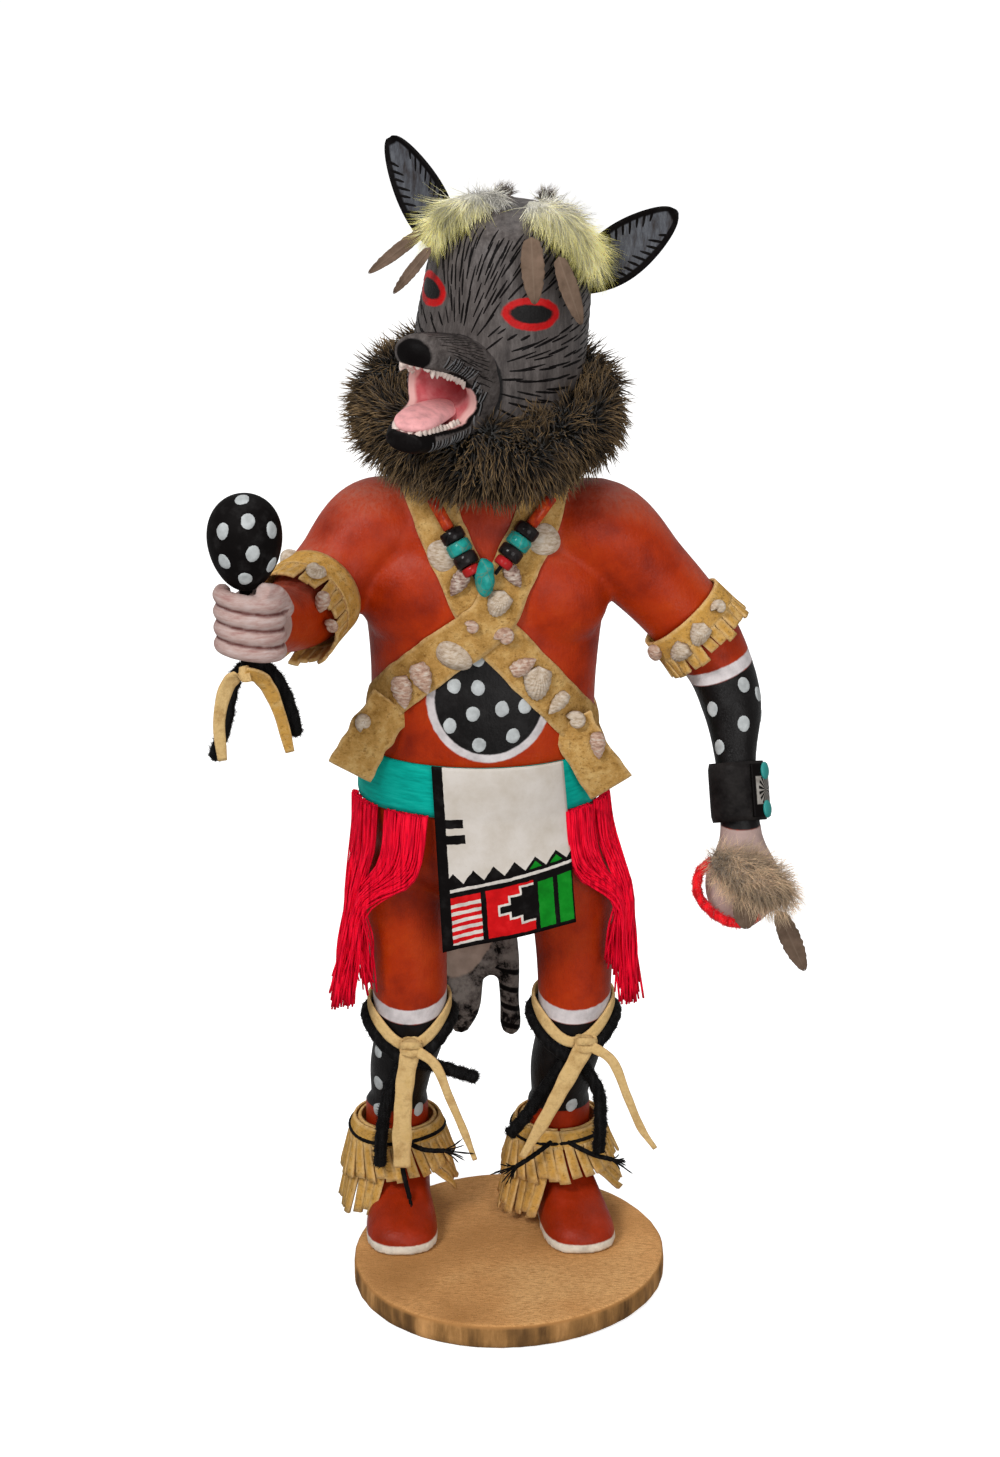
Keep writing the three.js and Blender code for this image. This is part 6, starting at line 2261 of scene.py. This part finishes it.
class DOLL_OT_armbands(bpy.types.Operator):
    """The fringed armbands with their shells, and the black bow guard with its plate"""

    bl_idname = "doll.armbands"
    bl_label = "Armbands and bow guard"

    def execute(self, context):
        suede = leather_finish("gold_suede", "gold_leather", "leather")
        sewn = {"pale": [], "pink": []}
        for side, (start, end, first, last) in ARMBANDS.items():
            point = band_point(start, end, first, last)
            slabs = fringed_cuff(point, (0.58, 1.05), 26, 1.1, 4, True, 72)
            leather_piece(f"fringed_armband_{side}", slabs, suede, [f"armband_{side}"])
            sew(sewn, skin_of(f"fringed_armband_{side}"), ARM_SHELLS[side])
        for tint, shells in sewn.items():
            dress(new_object(f"armband_shells_{tint}", shells), bpy.data.materials[f"shell_{tint}"])
        start, end = np.array(GUARD_ENDS)
        point = band_point(start, end, GUARD_INSIDE, GUARD_INSIDE)
        around, down = lattice(np.linspace(0, 1, 64, endpoint=False), np.linspace(0, 1, 11))
        thick = 1.4 * (1 - 0.4 * np.abs(2 * down - 1) ** 10)
        hide = slab(point(around, down, 0.0), point(around, down, thick), True)
        guard = new_object("hide_bow_guard", [hide])
        dress(guard, black_leather_finish(), ["bow_guard"])
        axis = unit(end - start)
        facing = np.array([0.84, -0.54, 0])
        outward = unit(facing - axis * np.dot(axis, facing))
        sideways = np.cross(axis, outward)
        along, turn = lattice(np.linspace(-1, 1, 31), np.linspace(-1, 1, 25))
        spoke = spokes(outward, sideways, turn * math.radians(34))
        middle = (start + end) / 2 + axis * (along * PLATE_HALF)[..., None]
        metal = slab(middle + spoke * PLATE_INNER, middle + spoke * PLATE_OUTER)
        plate = new_object("sunburst_plaque", [metal])
        mark(plate, "across", both_faces(turn))
        mark(plate, "along", both_faces(along))
        dress(plate, plaque_finish(), ["bow_guard_plaque"])
        stones = []
        for share in (-0.72, 0.72):
            points, faces = ball((0, 0, 0), (2.5, 3.1, 1.1), 28, 14)
            spot = (start + end) / 2 + axis * PLATE_HALF * share + outward * (PLATE_OUTER + 0.1)
            stones.append((points @ np.array([sideways, axis, outward]) + spot, faces))
        dress(new_object("plaque_stones", stones), bpy.data.materials["turquoise"])
        return {"FINISHED"}


class DOLL_OT_ankles(bpy.types.Operator):
    """The fringed ankle skirts and the black thread that ties them"""

    bl_idname = "doll.ankles"
    bl_label = "Ankles"

    def execute(self, context):
        suede = bpy.data.materials["gold_suede"]
        black = bpy.data.materials["black_wool"]
        for side, (x, y), wide in (("right", BOOTS[0], 20.5), ("left", BOOTS[1], 21.5)):
            lower = ankle_point((x, y), wide, 0.0, (2, 46))
            upper = ankle_point((x, y), wide, 1.9, (0.3, 0.5))
            slabs = fringed_cuff(lower, (0.5, 1.0), 26, 1.0, 6, False, 60)
            slabs += fringed_cuff(upper, (0.2, 0.56), 30, 0.9, 9, False, 60)
            leather_piece(f"fringed_ankle_{side}", slabs, suede, [f"ankle_cuff_{side}"])
            turn = np.linspace(0, 2 * np.pi, 48)
            around = x + ANKLE_TIE_OUT * np.sin(turn), y - ANKLE_TIE_OUT * np.cos(turn)
            ring = np.column_stack([*around, ANKLE_TIE_HIGH + 0.8 * np.sin(turn * 2)])
            shells = [plied(ring, 1.5, 2.2, 2, 8, 0.8)]
            pick = random.Random(2)
            for path in ANKLE_THREADS[side]:
                shells.append(plied(path, 1.9, 2.4, 3, 9, 0.6))
                tip = np.array(path[-1], float)
                along = unit(tip - np.array(path[-2], float))
                for _ in range(12):
                    way = along + np.array([pick.gauss(0, 0.28) for _ in range(3)])
                    bend = np.array([pick.gauss(0, 1) for _ in range(3)])
                    long = pick.uniform(4, 8)
                    wisp = [tip - along * 1.5, tip + way * long * 0.5 + bend * 0.4, tip + way * long + bend]
                    shells.append(plied(wisp, 0.55, 2.0, 2, 5, 1.2))
            dress(new_object(f"ankle_tie_{side}", shells), black, [f"ankle_thread_{side}"])
        return {"FINISHED"}


class DOLL_OT_pelt(bpy.types.Operator):
    """The carved pelt that hangs behind"""

    bl_idname = "doll.pelt"
    bl_label = "Pelt"

    def execute(self, context):
        shells = []
        for part in PELT_PARTS:
            stations = [(PELT_X + p[0], *p[1:]) for p in part]
            shells.append(tube(stations, (0, -1, 0), 32, 60))
        piece = fused("carved_pelt", shells, PELT_GRAIN, 3)
        x, y, z = points_of(piece).T
        x = x - PELT_X
        mark(piece, "paint_belly", np.maximum(np.hypot((x + 4) / 22, (z - 142) / 52) * 22 - 22, y - 62))
        bands = 1.1 - np.abs(np.mod(z + np.abs(x) * 0.3, 7.2) - 3.6)
        mark(piece, "paint_ringed", np.where((x > 11) & (z < 94), -bands, 5))
        dress(piece, pelt_finish(), ["pelt"])
        return {"FINISHED"}


class DOLL_OT_plumes(bpy.types.Operator):
    """The tufts of down on the head and in the hand, and the quill feathers"""

    bl_idname = "doll.plumes"
    bl_label = "Down and feathers"

    def execute(self, context):
        yellow = strand_finish("down_yellow", "down_root", "down_cream", "down_yellow", 0.3)
        tan = strand_finish("down_tan", "down_tan_root", "down_tan", "down_tan_tip", 0.3)
        dark = strand_finish("down_dark", "fur_root", "quill_dark", "quill", 0.2)
        pale = strand_finish("down_pale", "down_pale", "down_root", "down_pale", 0.2)
        finishes = {"yellow": yellow, "tan": tan, "dark": dark, "pale": pale}
        for name, tufts in DOWNS.items():
            for number, (tint, long, count, comb, stations) in enumerate(tufts):
                core = new_object(f"{name}_core_{number + 1}", [tube(stations, (0, -1, 0), 20, 30)])
                mark(core, "along", np.full(len(core.data.vertices), 0.2))
                barb = blade("barb", long, 0.22, 0.34)
                for layer in range(2):
                    label, lie = f"{name}_{number + 1}_{layer + 1}", (0.3, 1.3 - 0.6 * layer, 2.6, 190.0)
                    fluff = hairy(label, core, barb, finishes[tint], count, lie, comb, number + layer)
                    dress(fluff, finishes[tint], [name])
                remove(barb)
                dress(core, finishes[tint], [name])
        quill = feather_finish()
        for seed, (name, (root, tip, half)) in enumerate(FEATHERS.items()):
            shell, across, along = feather_shell(root, tip, half, seed)
            piece = new_object(f"{name}_vane", [shell])
            mark(piece, "across", across)
            mark(piece, "along", along)
            dress(piece, quill, [name])
        return {"FINISHED"}


# The add-on.


def length_property(label, description, default):
    """A length kept in metres."""
    return bpy.props.FloatProperty(
        name=label, description=description, default=default, unit="LENGTH", min=0.0, precision=5
    )


def colour_property(label, default):
    """A linear colour."""
    return bpy.props.FloatVectorProperty(
        name=label,
        description=f"Colour of the {label.lower()}",
        default=default,
        subtype="COLOR",
        size=3,
        min=0.0,
        max=1.0,
    )


class DollSizes(bpy.types.PropertyGroup):
    """Lengths that the pieces are made to"""

    figure_grain: length_property("Figure grain", "Finest step of the carved figure's skin", 0.00135)
    face_grain: length_property("Face grain", "Finest step of the muzzle's skin", 0.00066)
    strap_width: length_property("Strap width", "Width of a bandolier", 0.016)
    strap_thickness: length_property("Strap thickness", "Thickness of a bandolier's leather", 0.0014)
    fur_length: length_property("Fur length", "Longest hair of the ruff", 0.0108)
    fringe_threads: bpy.props.IntProperty(
        name="Fringe threads",
        description="Threads in the sash fringe at each hip",
        default=210,
        min=10,
        max=400,
    )


class DollColours(bpy.types.PropertyGroup):
    """Colours that the finishes are mixed from"""

    body: colour_property("Body red", (0.3696, 0.0255, 0.0009))
    body_dark: colour_property("Body shade", (0.22, 0.0123, 0.0009))
    body_light: colour_property("Body worn red", (0.4576, 0.044, 0.0026))
    # Dust mixed with a painted sheen, laid on the paint's upward faces.
    body_dust_and_sheen: colour_property("Dust and painted sheen", (0.38, 0.19, 0.145))
    hand: colour_property("Hands", (0.44, 0.31, 0.28))
    hand_shade: colour_property("Hand shade", (0.34, 0.19, 0.17))
    hand_light: colour_property("Hand worn paint", (0.52, 0.42, 0.4))
    # Painted shade in the creases between the fingers.
    hand_crease_shade: colour_property("Painted shade in the hand creases", (0.12, 0.045, 0.04))
    chalk: colour_property("Chalk white bands", (0.6, 0.55, 0.55))
    black_paint: colour_property("Black paint", (0.004, 0.003, 0.003))
    boot: colour_property("Boots", (0.3, 0.02, 0.002))
    sole: colour_property("Soles", (0.7, 0.65, 0.56))
    dab: colour_property("White dabs", (0.44, 0.46, 0.46))
    head: colour_property("Head grey", (0.0833, 0.0706, 0.0663))
    head_dark: colour_property("Head shade", (0.0382, 0.0314, 0.0298))
    head_light: colour_property("Head streaks", (0.1445, 0.1258, 0.119))
    eye_red: colour_property("Eye rings", (0.5, 0.002, 0.003))
    ear: colour_property("Ear hollow", (0.076, 0.079, 0.09))
    ear_light: colour_property("Ear streaks", (0.15, 0.158, 0.175))
    mouth: colour_property("Mouth", (0.46, 0.09, 0.1))
    gum: colour_property("Gums", (0.62, 0.25, 0.25))
    hair_light: colour_property("Pale lip hairs", (0.17, 0.17, 0.175))
    gum_rim: colour_property("Gum edge", (0.7, 0.4, 0.37))
    # This colour is painted shade deep inside the mouth.
    throat: colour_property("Throat", (0.3, 0.012, 0.018))
    tooth: colour_property("Teeth", (0.68, 0.56, 0.5))
    tongue: colour_property("Tongue", (0.86, 0.41, 0.41))
    log: colour_property("Log top", (0.638, 0.33, 0.1232))
    log_dark: colour_property("Log shade", (0.4, 0.19, 0.062))
    log_light: colour_property("Log pale wood", (0.748, 0.44, 0.187))
    bark: colour_property("Bark", (0.09, 0.045, 0.018))
    bark_light: colour_property("Bark streaks", (0.3, 0.15, 0.05))
    leather: colour_property("Leather", (0.47, 0.265, 0.078))
    gold_leather: colour_property("Golden leather", (0.56, 0.3, 0.065))
    leather_dark: colour_property("Leather shade", (0.3, 0.155, 0.036))
    leather_pale: colour_property("Leather nap", (0.62, 0.41, 0.16))
    leather_speck: colour_property("Leather specks", (0.15, 0.065, 0.012))
    leather_edge: colour_property("Leather cut edge", (0.7, 0.46, 0.2))
    thong_shade: colour_property("Thong shade", (0.5, 0.31, 0.12))
    thong: colour_property("Thong", (0.68, 0.47, 0.21))
    hide: colour_property("Black hide", (0.006, 0.005, 0.005))
    hide_worn: colour_property("Worn black hide", (0.025, 0.022, 0.021))
    belt: colour_property("Belt turquoise", (0.0017, 0.391, 0.3145))
    belt_dark: colour_property("Belt shade", (0.0008, 0.2635, 0.2125))
    belt_light: colour_property("Belt strokes", (0.0102, 0.476, 0.3825))
    sash: colour_property("Sash crimson", (0.86, 0.004, 0.03))
    wool: colour_property("Black wool", (0.005, 0.0045, 0.0045))
    wool_red: colour_property("Red wool", (0.8, 0.01, 0.016))
    kilt: colour_property("Kilt white", (0.62, 0.57, 0.52))
    kilt_stain: colour_property("Kilt stain", (0.5, 0.44, 0.37))
    kilt_red: colour_property("Kilt red", (0.56, 0.006, 0.008))
    kilt_green: colour_property("Kilt green", (0.004, 0.2, 0.012))
    fur_root: colour_property("Fur roots", (0.012, 0.008, 0.004))
    fur_middle: colour_property("Fur", (0.042, 0.025, 0.012))
    fur_tip: colour_property("Fur tips", (0.215, 0.138, 0.064))
    down_pale: colour_property("Pale down", (0.74, 0.71, 0.65))
    down_root: colour_property("Down roots", (0.9, 0.87, 0.78))
    down_cream: colour_property("Down", (0.92, 0.87, 0.56))
    down_yellow: colour_property("Down tips", (0.94, 0.83, 0.11))
    down_tan_root: colour_property("Hand down roots", (0.5, 0.36, 0.24))
    down_tan: colour_property("Hand down", (0.68, 0.48, 0.3))
    down_tan_tip: colour_property("Hand down tips", (0.78, 0.58, 0.37))
    quill: colour_property("Feather", (0.21, 0.14, 0.1))
    quill_dark: colour_property("Feather shade", (0.12, 0.08, 0.055))
    quill_pale: colour_property("Feather shaft", (0.2, 0.14, 0.1))
    coral: colour_property("Coral", (0.6, 0.07, 0.012))
    coral_crimson: colour_property("Red coral", (0.42, 0.015, 0.02))
    coral_dark: colour_property("Coral shade", (0.28, 0.015, 0.01))
    jet: colour_property("Jet", (0.02, 0.016, 0.016))
    turquoise: colour_property("Turquoise", (0.02, 0.31, 0.27))
    turquoise_dark: colour_property("Turquoise shade", (0.01, 0.18, 0.16))
    turquoise_vein: colour_property("Turquoise veins", (0.16, 0.15, 0.07))
    shell_white: colour_property("Shell white", (0.6, 0.53, 0.45))
    shell_pale: colour_property("Pale shells", (0.5, 0.4, 0.3))
    shell_pale_dark: colour_property("Pale shell bands", (0.34, 0.25, 0.17))
    shell_pink: colour_property("Pink shells", (0.48, 0.32, 0.24))
    shell_pink_dark: colour_property("Pink shell bands", (0.3, 0.17, 0.12))
    shell_brown: colour_property("Brown shells", (0.36, 0.25, 0.2))
    shell_brown_dark: colour_property("Brown shell bands", (0.16, 0.09, 0.07))
    silver: colour_property("Silver", (0.5, 0.47, 0.43))
    silver_dark: colour_property("Tarnish", (0.3, 0.27, 0.24))
    pelt: colour_property("Pelt grey", (0.24, 0.21, 0.19))
    pelt_dark: colour_property("Pelt shade", (0.13, 0.11, 0.1))
    pelt_pale: colour_property("Pelt belly", (0.36, 0.27, 0.22))


OPERATORS = [
    DOLL_OT_stage,
    DOLL_OT_cords,
    DOLL_OT_base,
    DOLL_OT_figure,
    DOLL_OT_muzzle,
    DOLL_OT_ears,
    DOLL_OT_ruff,
    DOLL_OT_belt,
    DOLL_OT_straps,
    DOLL_OT_necklace,
    DOLL_OT_fringe,
    DOLL_OT_rattle,
    DOLL_OT_armbands,
    DOLL_OT_ankles,
    DOLL_OT_pelt,
    DOLL_OT_plumes,
]


class DOLL_PT_panel(bpy.types.Panel):
    """Lists the doll's operators, sizes and colours"""

    bl_idname = "DOLL_PT_panel"
    bl_label = "Doll"
    bl_space_type = "VIEW_3D"
    bl_region_type = "UI"
    bl_category = "Doll"

    def draw(self, context):
        for operator in OPERATORS:
            self.layout.operator(operator.bl_idname)
        for group in (context.scene.doll_sizes, context.scene.doll_colours):
            for name in group.__annotations__:
                self.layout.prop(group, name)


CLASSES = [DollSizes, DollColours, *OPERATORS, DOLL_PT_panel]


def register():
    """Adds the classes and the scene's settings."""
    for made in CLASSES:
        bpy.utils.register_class(made)
    bpy.types.Scene.doll_sizes = bpy.props.PointerProperty(type=DollSizes)
    bpy.types.Scene.doll_colours = bpy.props.PointerProperty(type=DollColours)


def unregister():
    """Takes the settings and the classes away again."""
    del bpy.types.Scene.doll_colours
    del bpy.types.Scene.doll_sizes
    for made in reversed(CLASSES):
        bpy.utils.unregister_class(made)


def main():
    """Builds every piece in order."""
    register()
    for operator in OPERATORS:
        group, name = operator.bl_idname.split(".")
        getattr(getattr(bpy.ops, group), name)()


if __name__ == "__main__":
    main()
